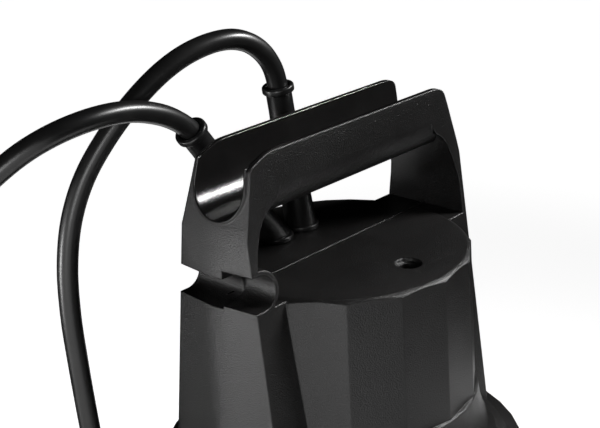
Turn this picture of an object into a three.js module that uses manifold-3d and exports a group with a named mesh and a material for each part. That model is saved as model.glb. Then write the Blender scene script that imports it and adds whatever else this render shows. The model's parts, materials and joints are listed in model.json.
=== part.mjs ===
// Submersible bilge pump: faceted upper casing with a trough handle, float switch and supply cable.
// Millimetres, +Z up. The origin is on the motor axis at the floor. -X is the front, where the cable
// clip and the outlet are, +X the rear, and -Y the side with the near screw recess.

import * as THREE from 'three';
import { mergeVertices } from 'three/addons/utils/BufferGeometryUtils.js';
import Module from 'manifold-3d';

const wasm = await Module();
wasm.setup();

// Driving dimensions

const clearance = 0.3; // gap between pieces that touch
const past = 2; // how far a cutting solid runs past the face it opens
const roundSteps = 16;
const fineSteps = 24;
const smallSteps = 8;

const strainer = {
  height: 38, wall: 3, floor: 4, footEdge: 2, draft: 4, ringThickness: 3.5, ringOverlap: 2.3,
  slots: 18, slotWidth: 6, slotBottom: 9, slotTopMargin: 8, posts: 3, postRadius: 6,
};
const lower = {
  bottomRadius: 73, topRadius: 77, flangeWidth: 9, flangeThickness: 7, foot: 3.9,
  recessWall: 10.7, recessDepth: 4.7, chamberWall: 10.3, chamberHeight: 33, web: 6,
  sealRoomHeight: 9, seatDepth: 10, seatWall: 9.7, seatLedge: 7.3, voluteGrowth: 8, voluteMargin: 5,
};
const outlet = { rise: 24, bore: 12, bossWall: 9, bossReach: 10, stubWall: 7, stubLength: 15 };
const hose = {
  gasket: 2, flange: 3, pipeWall: 2.5, pipeLength: 46, barbs: 4, barbHeight: 1.6, barbPitch: 8,
  nutWall: 5.2, nutLength: 22, nutLip: 3.5, flutes: 12, fluteRadius: 3, fluteDepth: 1.5,
};
const drum = {
  height: 106, facets: 16, rimRadius: 62.5, draft: 1.6, crownRise: 2.2, crownEdge: 5, crownInset: 3.9,
  crownFall: 0.012, wall: 3.7, topWall: 4.3, ceilingEdge: 5,
};
const skirt = { drop: 67, lip: 0.7, bead: 1.8, flangeRise: 5.7, flareWidth: 2.5, flareRise: 3 };
const spine = {
  halfWidth: 22.95, spread: 0.118, frontRidge: 77.3, rearRidge: 73, frontFall: 0.105, rearFall: 0.117,
  ridgeDraft: 0.03, frontShelf: 0.8, rearShelf: 1.3, wall: 3.3, pocketDrop: 5, pocketFloor: 7,
};
const handle = {
  rise: 64.2, troughRadius: 14, troughDepth: 27.7, wall: 3, mouthHalf: 12.8, lip: 1.1, lipProud: 0.8,
  frontLeg: 6.5, rearLeg: 5,
};
const clip = {
  nearRadius: 7.7, nearInset: 7.1, nearRise: 8.6, farRadius: 6.5, farInset: 6.7, farRise: 6.1,
  wall: 1.9, stepY: -5,
};
const recess = { x: 2.5, y: -40.4, mouthRadius: 6.4, mouthDepth: 1.6, bore: 4.3, bossWall: 3, floor: 4 };
const topScrew = { headHeight: 4.5, shankRadius: 3, bite: 8.7, socketRadius: 1.9, socketDepth: 2 };
const flangeScrew = { count: 4, headRadius: 4, headHeight: 3.6, shankRadius: 2.5, bite: 4 };
const strainerScrew = { headRadius: 4, headHeight: 3, shankRadius: 2.2, bite: 9 };
const oring = { section: 1.25, inset: 4.7 };

const shaft = { thread: 4, lower: 7.2, core: 9, upper: 5.7 };
const lowerBearing = { radius: 17.5, width: 11, wall: 3.2 };
const upperBearing = { radius: 16, width: 10, wall: 3 };
const seal = { headRadius: 13, seatRadius: 14, lipWidth: 2, lipHeight: 1.7, runningGap: 0.5 };
const lipSeal = { radius: 11, height: 6.2 };
const lowerBracket = { disc: 6, web: 2, wall: 4.5 };
const upperBracket = { disc: 5, web: 3, wall: 4, headroom: 23.7 };
const motor = {
  canGap: 3.6, canWall: 2.5, bore: 26.6, airGap: 0.6, slots: 18, slotDepth: 9, slotWidth: 3.4,
  turnHeight: 10.5, turnInset: 4.4, stackRise: 8,
};
const impeller = {
  tipGap: 10, shroud: 4, hubRadius: 12, hubWeb: 3, bladeHeight: 13, bladeWall: 3, blades: 6,
  bladeStart: 14, sweep: 0.85, plateGap: 1,
};
const impellerNut = { radius: 7.2, height: 5.4, corners: 6 };
const suction = { eye: 18 };
const capacitor = { radius: 10, length: 48, x: 8, y: -8, strap: 1.5, strapWidth: 10, footLength: 7 };
const terminalBlock = { length: 22, width: 12, height: 10, x: 36, y: 20, screwRadius: 2, screwGap: 12 };

const cable = { radius: 4.6, sides: 8, step: 20 };
const sleeve = {
  footRadius: 7.3, tipRadius: 5.9, collarRadius: 7.3, collarLength: 3.4, boreGap: 0.5,
  neckRadius: 6.7, flangeHeight: 2.4,
};
const powerFoot = { x: -12.5, y: 27, tipX: -58.8, tipRise: 67, flangeX: -11.4, flangeRadius: 8.8 };
const floatFoot = { x: 6.5, y: 27, tipX: -4.2, tipRise: 74, flangeX: 6.9, flangeRadius: 8.3 };
const cableClamp = { x0: -21, x1: 20, y0: 18, y1: 36, height: 4.7, cableEnd: 1.6 };

const coil = { x: -171, y: 30, meanRadius: 66, turns: 5, layers: 2, spacing: 0.7, steps: 20, sides: 6 };
const plug = {
  radius: 18, length: 42, neckLength: 32, neckRadius: 7.4, shoulder: 9, edge: 2, flat: 3,
  fromCoilX: -29, fromCoilY: -72,
  pinRadius: 2.4, pinLength: 19, pinGap: 19, pinSocket: 8,
};
const float = {
  neckX: -166, y: 43, length: 94, width: 64, height: 44, wall: 2.6, neckWidth: 30, neckHeight: 27,
  boreGap: 0.3, grommetRadius: 8.4, grommetTip: 6.6, grommetLength: 20, grommetInside: 5,
  grommetFlange: 2.4, grommetFlangeRadius: 10.6,
  ballRadius: 9, ballTravel: 30, railWidth: 3, railGap: 10, railTop: 10,
  switchLength: 20, switchWidth: 15, switchHeight: 13,
};

// Sizes that follow from them

const lowerZ = strainer.height + clearance;
const recessZ = lowerZ + lower.recessDepth;
const chamberZ = recessZ + lower.chamberHeight;
const webZ = chamberZ + lower.web;
const ledgeZ = webZ + lower.sealRoomHeight;
const jointZ = ledgeZ + lower.seatDepth;
const upperZ = jointZ + clearance;
const rimZ = jointZ + drum.height;
const skirtZ = rimZ - skirt.drop;
const crownZ = rimZ + drum.crownRise;
const ceilingZ = crownZ - drum.topWall;
const outletZ = lowerZ + outlet.rise;
const handleTop = rimZ + handle.rise;
const troughZ = handleTop - handle.troughDepth + handle.troughRadius;
const front = -spine.frontRidge;
const rear = spine.rearRidge;

const flangeRadius = lower.topRadius + lower.flangeWidth;
const wellOut = flangeRadius + 4 * past;
const recessRadius = lower.bottomRadius - lower.recessWall;
const chamberRadius = recessRadius - lower.chamberWall;
const seatRadius = lower.topRadius - lower.seatWall;
const sealRoomRadius = seatRadius - lower.seatLedge;
const oringRadius = seatRadius + oring.inset;
const postCircle = (recessRadius + lower.bottomRadius) / 2;
const flangeCircle = lower.topRadius + flangeScrew.headRadius + 2 * clearance;
const strainerTop = lower.bottomRadius + clearance * 10;
const strainerFoot = strainerTop - strainer.draft;
const roomRadius = Math.cos(Math.PI / drum.facets) * drum.rimRadius - drum.wall;

const bracketZ = ledgeZ + clearance;
const lowerBearingZ = bracketZ + lowerBracket.web + clearance;
const lowerBearingTop = lowerBearingZ + lowerBearing.width;
const canZ = bracketZ + lowerBracket.disc + clearance;
const stackZ = lowerBearingTop + motor.stackRise;
const upperBracketTop = ceilingZ - upperBracket.headroom;
const upperBracketZ = upperBracketTop - upperBracket.disc;
const upperBearingTop = upperBracketTop - upperBracket.web - clearance;
const upperBearingZ = upperBearingTop - upperBearing.width;
const stackTop = upperBearingZ - motor.stackRise;
const canRadius = roomRadius - motor.canGap;
const statorRadius = canRadius - motor.canWall - clearance;
const rotorRadius = motor.bore - motor.airGap;
const lowerBore = shaft.lower + clearance;
const upperBore = shaft.upper + clearance;

const suctionTop = recessZ - clearance;
const bladeZ = suctionTop + impeller.plateGap;
const shroudZ = bladeZ + impeller.bladeHeight;
const headZ = shroudZ + impeller.shroud + 2 * seal.lipHeight;
const hubZ = bladeZ + impellerNut.height + 2 * clearance;
const seatTop = webZ + clearance + seal.lipHeight;
const lipSealZ = bracketZ - clearance - lipSeal.height;

const boreRadius = cable.radius + sleeve.boreGap;
const bossZ = upperBracketTop + clearance;
const screwSeatZ = bossZ + recess.floor;
const coilPitch = 2 * cable.radius + coil.spacing;
const coilOuter = coil.meanRadius + (coil.turns * coilPitch) / 2;
const coilZ = cable.radius + 0.2;
const coilX = coil.x - coilOuter;
const tailZ = coilZ + coilPitch * (coil.layers - 1);
const coilTop = tailZ + cable.radius;
const floatBase = coilTop + 0.2;
const floatZ = floatBase + float.height / 2;
const plugX = coil.x + plug.fromCoilX;
const plugY = coil.y + plug.fromCoilY;
const plugZ = coilTop + 0.2 + plug.radius;

// Solids

function solidOf(geometry) {
  const source = geometry.clone();
  source.deleteAttribute('normal');
  source.deleteAttribute('uv');
  const merged = mergeVertices(source, 1e-4);
  const points = merged.attributes.position;
  const order = merged.index.array;
  const faces = [];
  for (let i = 0; i < order.length; i += 3) {
    const [a, b, c] = [order[i], order[i + 1], order[i + 2]];
    if (a !== b && b !== c && c !== a) faces.push(a, b, c);
  }
  const [a, b, c] = [new THREE.Vector3(), new THREE.Vector3(), new THREE.Vector3()];
  let volume = 0;
  for (let i = 0; i < faces.length; i += 3) {
    a.fromBufferAttribute(points, faces[i]);
    b.fromBufferAttribute(points, faces[i + 1]);
    c.fromBufferAttribute(points, faces[i + 2]);
    volume += a.dot(b.cross(c));
  }
  if (volume < 0) faces.reverse();
  return new wasm.Manifold(new wasm.Mesh({
    numProp: 3,
    vertProperties: new Float32Array(points.array),
    triVerts: new Uint32Array(faces),
  }));
}

function geometryOf(solid) {
  const mesh = solid.getMesh();
  const geometry = new THREE.BufferGeometry();
  geometry.setAttribute('position', new THREE.BufferAttribute(new Float32Array(mesh.vertProperties), 3));
  geometry.setIndex(new THREE.BufferAttribute(new Uint32Array(mesh.triVerts), 1));
  geometry.computeVertexNormals();
  return geometry;
}

function join(...solids) {
  return solids.reduce((all, next) => all.add(next));
}

function lessAll(solid, cutters) {
  return cutters.reduce((left, cutter) => left.subtract(cutter), solid);
}

function placed(solid, matrix) {
  return solidOf(geometryOf(solid).applyMatrix4(matrix));
}

function polygonShape(points) {
  return new THREE.Shape(points.map(([x, y]) => new THREE.Vector2(x, y)));
}

function extruded(shape, depth, curveSegments = 8) {
  return new THREE.ExtrudeGeometry(shape, { depth, bevelEnabled: false, curveSegments });
}

// An outline in X and Y, raised along Z.
function alongZ(shape, z0, z1, curveSegments) {
  return solidOf(extruded(shape, z1 - z0, curveSegments).translate(0, 0, z0));
}

// An outline in Y and Z, drawn out along X.
function alongX(shape, x0, x1, curveSegments) {
  const frame = new THREE.Matrix4().makeBasis(
    new THREE.Vector3(0, 1, 0), new THREE.Vector3(0, 0, 1), new THREE.Vector3(1, 0, 0));
  return solidOf(extruded(shape, x1 - x0, curveSegments).applyMatrix4(frame).translate(x0, 0, 0));
}

// An outline in X and Z, drawn out along Y.
function alongY(shape, y0, y1, curveSegments) {
  const frame = new THREE.Matrix4().makeBasis(
    new THREE.Vector3(1, 0, 0), new THREE.Vector3(0, 0, 1), new THREE.Vector3(0, -1, 0));
  return solidOf(extruded(shape, y1 - y0, curveSegments).applyMatrix4(frame).translate(0, y1, 0));
}

function boxShape(x0, x1, y0, y1) {
  return polygonShape([[x0, y0], [x1, y0], [x1, y1], [x0, y1]]);
}

function circleShape(x, y, radius) {
  return new THREE.Shape().absarc(x, y, radius, 0, 2 * Math.PI);
}

// A profile of [radius, z] turned round the vertical axis through x, y.
function turned(profile, segments = roundSteps, x = 0, y = 0) {
  const points = profile.map(([r, z]) => new THREE.Vector2(r, z));
  const geometry = new THREE.LatheGeometry(points, segments);
  return solidOf(geometry.rotateX(Math.PI / 2).translate(x, y, 0));
}

// A profile of [radius, distance] turned round an axis that points to -X from x, at height z.
function turnedOut(profile, segments, x, z) {
  const turn = new THREE.Matrix4().makeBasis(
    new THREE.Vector3(0, 0, 1), new THREE.Vector3(0, 1, 0), new THREE.Vector3(-1, 0, 0));
  turn.setPosition(x, 0, z);
  return placed(turned(profile, segments), turn);
}

function ring(inner, outer, z0, z1, segments = roundSteps, x = 0, y = 0) {
  return turned([[inner, z0], [outer, z0], [outer, z1], [inner, z1], [inner, z0]], segments, x, y);
}

function rod(radius, z0, z1, segments = smallSteps, x = 0, y = 0) {
  return turned([[0, z0], [radius, z0], [radius, z1], [0, z1]], segments, x, y);
}

// A closed body through rings of points that have equal counts.
function lofted(rings) {
  const count = rings[0].length;
  const positions = rings.flat().flatMap((point) => [point.x, point.y, point.z]);
  const index = [];
  for (let r = 0; r + 1 < rings.length; r += 1) {
    for (let i = 0; i < count; i += 1) {
      const a = r * count + i;
      const b = r * count + ((i + 1) % count);
      index.push(a, b, b + count, a, b + count, a + count);
    }
  }
  const last = (rings.length - 1) * count;
  for (let i = 1; i + 1 < count; i += 1) {
    index.push(0, i + 1, i);
    index.push(last, last + i, last + i + 1);
  }
  const geometry = new THREE.BufferGeometry();
  geometry.setAttribute('position', new THREE.Float32BufferAttribute(positions, 3));
  geometry.setIndex(index);
  return solidOf(geometry);
}

function polygonRing(points, z) {
  return points.map(([x, y]) => new THREE.Vector3(x, y, z));
}

function evenly(count, start = 0) {
  return Array.from({ length: count }, (_, i) => start + (2 * Math.PI * i) / count);
}

// Upper casing

function spineHalf(z) {
  return spine.halfWidth - spine.spread * (z - rimZ);
}

// Keeps a body between the two flanks of the spines, which lean together upwards.
function betweenFlanks(inset, z0, z1, reach = 95) {
  return lofted([z0, z1].map((z) => {
    const half = spineHalf(z) - inset;
    return polygonRing([[-reach, -half], [reach, -half], [reach, half], [-reach, half]], z);
  }));
}

// The plan of both spines, each with two faces that meet at a low ridge on the centre plane.
function spinePlan(z, inset, side = 40) {
  const grow = spine.ridgeDraft * (rimZ - z) - inset;
  const foreX = front - grow;
  const rearX = rear + grow;
  return polygonRing([
    [foreX, 0], [foreX + side * spine.frontFall, -side], [rearX - side * spine.rearFall, -side],
    [rearX, 0], [rearX - side * spine.rearFall, side], [foreX + side * spine.frontFall, side],
  ], z);
}

function spinesBody(inset, z0, z1) {
  return lofted([spinePlan(z0, inset), spinePlan(z1, inset)]).intersect(betweenFlanks(inset, z0, z1));
}

function facetRing(z) {
  const radius = drum.rimRadius + (rimZ - z) * Math.tan(THREE.MathUtils.degToRad(drum.draft));
  return evenly(drum.facets).map(
    (turn) => new THREE.Vector3(radius * Math.cos(turn), radius * Math.sin(turn), z));
}

function drumBody() {
  const facets = lofted([facetRing(upperZ), facetRing(crownZ + past)]);
  const flat = drum.rimRadius - drum.crownInset;
  const profile = [new THREE.Vector2(0, crownZ)];
  const arcEnd = THREE.MathUtils.degToRad(56);
  const steps = 3;
  for (let i = 0; i <= steps; i += 1) {
    const turn = (arcEnd * i) / steps;
    profile.push(new THREE.Vector2(
      flat + drum.crownEdge * Math.sin(turn), crownZ - drum.crownEdge * (1 - Math.cos(turn))));
  }
  const reach = 30;
  const end = profile[profile.length - 1];
  profile.push(new THREE.Vector2(end.x + reach, end.y - reach * Math.tan(arcEnd)));
  profile.push(new THREE.Vector2(end.x + reach, upperZ - past));
  profile.push(new THREE.Vector2(0, upperZ - past));
  const crown = new THREE.LatheGeometry(profile, 32).rotateX(Math.PI / 2);
  // The crown falls a little to each side of a ridge on the centre plane.
  const points = crown.attributes.position;
  for (let i = 0; i < points.count; i += 1) {
    points.setZ(i, points.getZ(i) - drum.crownFall * Math.abs(points.getY(i)));
  }
  return facets.intersect(solidOf(crown));
}

// The bead under the facets and the hollow flare that runs out to the flange.
function skirtBody() {
  const lipRadius = drum.rimRadius + skirt.drop * Math.tan(THREE.MathUtils.degToRad(drum.draft)) + skirt.lip;
  const start = new THREE.Vector2(lipRadius, skirtZ - skirt.bead);
  const end = new THREE.Vector2(flangeRadius, upperZ + skirt.flangeRise);
  const bend = new THREE.Vector2(lipRadius + skirt.flareWidth, end.y + skirt.flareRise);
  const flare = new THREE.QuadraticBezierCurve(start, bend, end).getPoints(5);
  return turned([
    [0, skirtZ], [lipRadius - skirt.lip, skirtZ], [lipRadius, skirtZ - skirt.lip],
    ...flare.map((point) => [point.x, point.y]),
    [flangeRadius, upperZ], [0, upperZ],
  ], 40);
}

function handleSide() {
  const shape = new THREE.Shape();
  shape.moveTo(front - 3, rimZ - 3);
  shape.lineTo(front - 3, rimZ + 11.5);
  shape.lineTo(front + 4.4, handleTop - 27.9);
  shape.lineTo(front + 7.9, handleTop - 15.1);
  shape.lineTo(front + 10.2, handleTop - 6.4);
  shape.quadraticCurveTo(front + 10.5, handleTop - 4.2, front + 13.3, handleTop - 3.2);
  shape.lineTo(front + 19.8, handleTop - 0.8);
  shape.quadraticCurveTo(front + 22.3, handleTop, front + 26.3, handleTop);
  shape.lineTo(rear - 19, handleTop);
  shape.quadraticCurveTo(rear - 11.5, handleTop, rear - 10, handleTop - 3.9);
  shape.lineTo(rear - 8.6, handleTop - 8.9);
  shape.lineTo(rear - 6.5, handleTop - 18);
  shape.lineTo(rear - 4.3, handleTop - 27.3);
  shape.lineTo(rear - 2.6, handleTop - 36.5);
  shape.lineTo(rear + 3, rimZ - 3);
  return shape;
}

function troughShape(radius, half, top) {
  const shape = new THREE.Shape();
  shape.moveTo(half, top);
  shape.lineTo(radius, troughZ);
  shape.absarc(0, troughZ, radius, 0, Math.PI, true);
  shape.lineTo(-half, top);
  return shape;
}

function archShape() {
  const fore = front + handle.frontLeg;
  const aft = rear - handle.rearLeg;
  const floor = rimZ - past - 1;
  const shape = new THREE.Shape();
  shape.moveTo(fore, floor);
  shape.lineTo(fore, handleTop - 45.2);
  shape.lineTo(fore + 1.7, handleTop - 37.5);
  shape.lineTo(fore + 4.5, handleTop - 30);
  shape.quadraticCurveTo(fore + 8.3, handleTop - 23.2, fore + 16, handleTop - 20.7);
  shape.lineTo(fore + 21, troughZ);
  shape.lineTo(aft - 18, troughZ);
  shape.lineTo(aft - 14, handleTop - 20.7);
  shape.quadraticCurveTo(aft - 7.5, handleTop - 23.7, aft - 4.8, handleTop - 31.6);
  shape.lineTo(aft - 2.5, handleTop - 37.7);
  shape.lineTo(aft - 0.4, handleTop - 45.2);
  shape.lineTo(aft, handleTop - 50.7);
  shape.lineTo(aft, floor);
  return shape;
}

// The raised lip that follows the trough's round mouth on the slanted front of the leg.
function lipBody() {
  const reach = handle.troughRadius + handle.lip;
  const outer = alongX(
    troughShape(reach, handle.mouthHalf + handle.lip, handleTop - 4), front - 3, front + 17, 9);
  const proud = front - handle.lipProud;
  return outer.intersect(alongY(polygonShape([
    [proud + 4.4, handleTop - 31.2], [proud + 4.4, handleTop - 27.9], [proud + 7.9, handleTop - 15.1],
    [proud + 10.5, handleTop - 4.2], [front + 15.3, handleTop - 4.2], [front + 9.3, handleTop - 31.2],
  ]), -30, 30));
}

function handleBody() {
  const z0 = rimZ - 3;
  const z1 = handleTop + past;
  const plan = lofted([spinePlan(z0, 0), spinePlan(z1, 0)]);
  const body = alongY(handleSide(), -40, 40, 5).intersect(plan).intersect(betweenFlanks(0, z0, z1));
  const reach = handle.troughRadius + handle.wall;
  const underside = alongX(troughShape(reach, reach + 1, handleTop + 9), -95, 95, 10);
  const arch = alongY(archShape(), -45, 45, 6).subtract(underside);
  return body.subtract(arch).add(lipBody());
}

const nearGroove = { x: front + clip.nearInset, z: rimZ + clip.nearRise, radius: clip.nearRadius };
const farGroove = { x: front + clip.farInset, z: rimZ + clip.farRise, radius: clip.farRadius };

function clipBody() {
  const near = circleShape(nearGroove.x, nearGroove.z, nearGroove.radius + clip.wall);
  const far = circleShape(farGroove.x, farGroove.z, farGroove.radius + clip.wall);
  const z0 = rimZ - 8;
  const z1 = rimZ + 25;
  const plan = lofted([spinePlan(z0, 0), spinePlan(z1, 0)]);
  return join(alongY(near, -40, clip.stepY + clip.wall, 10), alongY(far, clip.stepY, 40, 10))
    .intersect(plan).intersect(betweenFlanks(0, z0, z1));
}

function grooveCut({ x, z, radius }, y0, y1) {
  const shape = new THREE.Shape();
  shape.moveTo(x - 20, z - radius);
  shape.lineTo(x, z - radius);
  shape.absarc(x, z, radius, -Math.PI / 2, Math.PI / 2);
  shape.lineTo(x - 20, z + radius);
  return alongY(shape, y0, y1, 10);
}

const topScrewPlaces = [
  { name: 'top_screw_near', x: recess.x, y: recess.y },
  { name: 'top_screw_far', x: -recess.x, y: -recess.y },
];

function onCircle(radius, turn) {
  return { x: radius * Math.cos(turn), y: radius * Math.sin(turn) };
}

const flangeScrewPlaces = evenly(flangeScrew.count, Math.PI / flangeScrew.count)
  .map((turn, i) => ({ name: `flange_screw_${i + 1}`, ...onCircle(flangeCircle, turn) }));

const strainerScrewPlaces = evenly(strainer.posts)
  .map((turn, i) => ({ name: `strainer_screw_${i + 1}`, ...onCircle(postCircle, turn) }));

function upperCasing() {
  const rearHalf = alongZ(boxShape(0, wellOut, -drum.rimRadius, drum.rimRadius), upperZ - past, rimZ + 9);
  const shell = join(
    drumBody(),
    skirtBody(),
    spinesBody(0, upperZ, rimZ + spine.frontShelf).subtract(rearHalf),
    spinesBody(0, upperZ, rimZ + spine.rearShelf).intersect(rearHalf),
    handleBody(),
    clipBody());
  const room = turned([
    [0, upperZ - past], [roomRadius, upperZ - past], [roomRadius, ceilingZ - drum.ceilingEdge],
    [roomRadius - 0.3 * drum.ceilingEdge, ceilingZ - 0.3 * drum.ceilingEdge],
    [roomRadius - drum.ceilingEdge, ceilingZ], [0, ceilingZ],
  ], 20);
  const pockets = spinesBody(spine.wall, upperZ + spine.pocketFloor, rimZ - spine.pocketDrop);
  const bosses = topScrewPlaces.map(
    ({ x, y }) => rod(recess.bore + recess.bossWall, bossZ, ceilingZ + 1, 16, x, y));
  const trough = alongX(troughShape(handle.troughRadius, handle.mouthHalf, handleTop + past), -95, 95, 10);
  const cuts = [
    trough, grooveCut(nearGroove, -40, clip.stepY), grooveCut(farGroove, clip.stepY - 0.01, 40),
  ];
  for (const { x, y } of topScrewPlaces) {
    const mouthZ = crownZ - drum.crownFall * Math.abs(y) - recess.mouthDepth;
    cuts.push(rod(recess.bore, screwSeatZ, crownZ + past, 16, x, y));
    cuts.push(rod(topScrew.shankRadius + clearance, bossZ - past, screwSeatZ + 1, smallSteps, x, y));
    cuts.push(turned([
      [0, mouthZ], [recess.mouthRadius - 0.8, mouthZ], [recess.mouthRadius + 0.4, crownZ + past],
      [0, crownZ + past],
    ], 16, x, y));
  }
  for (const foot of [powerFoot, floatFoot]) {
    cuts.push(leaning(foot, rod(sleeve.neckRadius + clearance, -20, 6, 16)));
  }
  for (const { x, y } of flangeScrewPlaces) {
    cuts.push(rod(flangeScrew.shankRadius + clearance, upperZ - past, upperZ + flangeScrew.bite + clearance,
      smallSteps, x, y));
  }
  return lessAll(join(shell.subtract(join(room, pockets)), ...bosses), cuts);
}

// Cables and their sleeves

function vector([x, y, z]) {
  return new THREE.Vector3(x, y, z);
}

function sleeveLine(foot) {
  const base = new THREE.Vector3(foot.x, foot.y, crownZ + 2);
  const tip = new THREE.Vector3(foot.tipX, foot.y, rimZ + foot.tipRise);
  return { base, tip, direction: tip.clone().sub(base).normalize(), length: tip.distanceTo(base) };
}

// Moves a solid made round +Z onto the axis of a sleeve.
function leaning(foot, solid) {
  const { base, direction } = sleeveLine(foot);
  const lean = new THREE.Matrix4().makeRotationFromQuaternion(
    new THREE.Quaternion().setFromUnitVectors(new THREE.Vector3(0, 0, 1), direction));
  return placed(solid, lean.setPosition(base));
}

const clampTop = ceilingZ - clearance;
const cableEndZ = clampTop - cableClamp.height - cableClamp.cableEnd;

// The straight stretch of a cable, from inside the casing to just past the tip of its sleeve.
function sleeveRoute(foot) {
  const { base, tip, direction, length } = sleeveLine(foot);
  return [
    base.clone().addScaledVector(direction, (cableEndZ - base.z) / direction.z),
    base.clone(),
    base.clone().addScaledVector(direction, length / 3),
    base.clone().addScaledVector(direction, (2 * length) / 3),
    tip,
  ];
}

function overRim([x, y, rise]) {
  return new THREE.Vector3(x, y, rimZ + rise);
}

const powerRoute = [
  ...sleeveRoute(powerFoot),
  ...[
    [-69, 27, 74.8], [-79.5, 27, 79.6], [-89.8, 27, 82.6], [-101, 27, 84.1], [-114, 28, 83.9],
    [-126.5, 31.3, 81.2], [-137, 36.6, 76], [-147.3, 43.5, 67.5], [-158.5, 51.5, 55.5],
    [-171, 60.5, 39.5], [-184, 69.5, 20.5],
  ].map(overRim),
  ...[
    [-197.5, 79, 203.5], [-210.5, 88, 178], [-223, 96, 152.5], [-234.5, 103, 127.5],
    [-245, 108.5, 103.5], [-253.5, 112, 81.5], [-259.3, 113.2, 61],
  ].map(vector),
  new THREE.Vector3(coilX, coil.y + 82.4, 39.5),
  new THREE.Vector3(coilX, coil.y + 77.4, 25.8),
  new THREE.Vector3(coilX, coil.y + 68, 14.6),
  new THREE.Vector3(coilX, coil.y + 55.4, 7.3),
  new THREE.Vector3(coilX, coil.y + 41, coilZ),
  new THREE.Vector3(coilX, coil.y + 25, coilZ),
  new THREE.Vector3(coilX, coil.y + 2 * cable.radius + clearance, coilZ),
];

const floatRoute = [
  ...sleeveRoute(floatFoot),
  ...[
    [-6.8, 27.1, 82.6], [-11.8, 27.5, 90.1], [-18.8, 28.4, 95.8], [-27.2, 29.4, 99.1],
    [-36.2, 30.6, 99.9], [-45.5, 32.2, 98.8], [-54.6, 34.3, 96], [-64.5, 37.2, 90.6],
    [-75.7, 41.2, 81.4], [-86.9, 46.8, 68], [-97.2, 52, 51.5], [-104, 55, 34], [-107.8, 56.4, 14],
  ].map(overRim),
  ...[
    [-109.2, 56.3, 199], [-109, 55.4, 177], [-108.6, 54, 155], [-108.2, 52.2, 133],
    [-108.1, 50.2, 112], [-108.3, 48, 92], [-110.8, 46, 72.5], [-117.5, 44.4, 57.3],
    [-128.5, 43.4, 47.2], [-141, 43, 42.6],
  ].map(vector),
  new THREE.Vector3(float.neckX + 14, float.y, floatZ),
  new THREE.Vector3(float.neckX + 6, float.y, floatZ),
  new THREE.Vector3(float.neckX - float.grommetInside - 3, float.y, floatZ),
];

const tailRoute = [
  [-coilOuter, -2 * cable.radius - clearance, tailZ], [-90, -22, tailZ + 0.5],
  [-85.5, -36, tailZ + 2.8], [-76.5, -50, tailZ + 7.3], [-64, -62, tailZ + 13.3],
  [-51, -69.5, tailZ + 18.9], [plug.fromCoilX - 10, plug.fromCoilY, plugZ - 0.4],
  [plug.fromCoilX, plug.fromCoilY, plugZ],
].map(([x, y, z]) => new THREE.Vector3(coil.x + x, coil.y + y, z));

function cordCurve(route) {
  return new THREE.CatmullRomCurve3(route, false, 'centripetal');
}

function tubeAlong(route, radius) {
  const curve = cordCurve(route);
  const section = evenly(cable.sides).map((turn) => [radius * Math.cos(turn), radius * Math.sin(turn)]);
  return solidOf(new THREE.ExtrudeGeometry(polygonShape(section), {
    extrudePath: curve, steps: Math.round(curve.getLength() / cable.step), bevelEnabled: false,
  }));
}

function cableSleeve(foot, route) {
  const { length } = sleeveLine(foot);
  const crown = crownZ - drum.crownFall * (foot.y - foot.flangeRadius);
  const footZ = crown + clearance;
  const collar = length - sleeve.collarLength;
  const taper = leaning(foot, turned([
    [0, -6], [sleeve.footRadius, -6], [sleeve.footRadius, 8], [sleeve.tipRadius, collar - 8],
    [sleeve.tipRadius, collar], [sleeve.collarRadius - 0.5, collar],
    [sleeve.collarRadius, collar + 0.6], [sleeve.collarRadius, length - 0.8],
    [sleeve.collarRadius - 0.8, length], [0, length],
  ], 14));
  const above = alongZ(boxShape(-wellOut, wellOut, -wellOut, wellOut), footZ, handleTop + 60);
  const flangeTop = footZ + sleeve.flangeHeight;
  const flange = turned([
    [0, footZ], [foot.flangeRadius, footZ], [foot.flangeRadius, flangeTop - 0.8],
    [foot.flangeRadius - 0.8, flangeTop], [0, flangeTop],
  ], roundSteps, foot.flangeX, foot.y);
  const neck = leaning(foot, rod(sleeve.neckRadius, -20, 2, 16))
    .intersect(alongZ(boxShape(-wellOut, wellOut, -wellOut, wellOut), ceilingZ, footZ + 1));
  return join(taper.intersect(above), flange, neck).subtract(tubeAlong(route, boreRadius));
}

// The plate that holds both cables under the casing's top.
function clampPlate() {
  const { x0, x1, y0, y1, height } = cableClamp;
  const edge = 3;
  const plate = alongZ(polygonShape([
    [x0 + edge, y0], [x1 - edge, y0], [x1, y0 + edge], [x1, y1 - edge], [x1 - edge, y1],
    [x0 + edge, y1], [x0, y1 - edge], [x0, y0 + edge],
  ]), clampTop - height, clampTop);
  const boss = recess.bore + recess.bossWall + clearance;
  return lessAll(plate, [
    rod(boss, clampTop - height - past, clampTop + past, 16, -recess.x, -recess.y),
    tubeAlong(powerRoute, cable.radius + clearance),
    tubeAlong(floatRoute, cable.radius + clearance),
  ]);
}

// The stored length of cable, piled in layers that spiral in and out again at a steady rate.
function coilRoute() {
  const span = coil.turns * coilPitch;
  const count = coil.turns * coil.layers * coil.steps;
  const points = [];
  for (let i = 0; i <= count; i += 1) {
    const turn = i / coil.steps;
    const layer = Math.min(Math.floor(turn / coil.turns), coil.layers - 1);
    const along = turn / coil.turns - layer;
    const radius = coilOuter - span * (layer % 2 === 0 ? along : 1 - along);
    const nearest = Math.round(turn / coil.turns);
    const offset = turn - nearest * coil.turns;
    let level = layer;
    if (nearest > 0 && nearest < coil.layers && Math.abs(offset) < 0.25) {
      level = nearest - 0.5 + 0.5 * Math.sin(2 * Math.PI * offset);
    }
    const { x, y } = onCircle(radius, Math.PI + 2 * Math.PI * turn);
    points.push(new THREE.Vector3(coil.x + x, coil.y + y, coilZ + coilPitch * level));
  }
  const first = points[0].clone();
  const last = points[points.length - 1].clone();
  first.y += 2 * cable.radius;
  last.y -= 2 * cable.radius;
  return [first, ...points, last];
}

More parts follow.
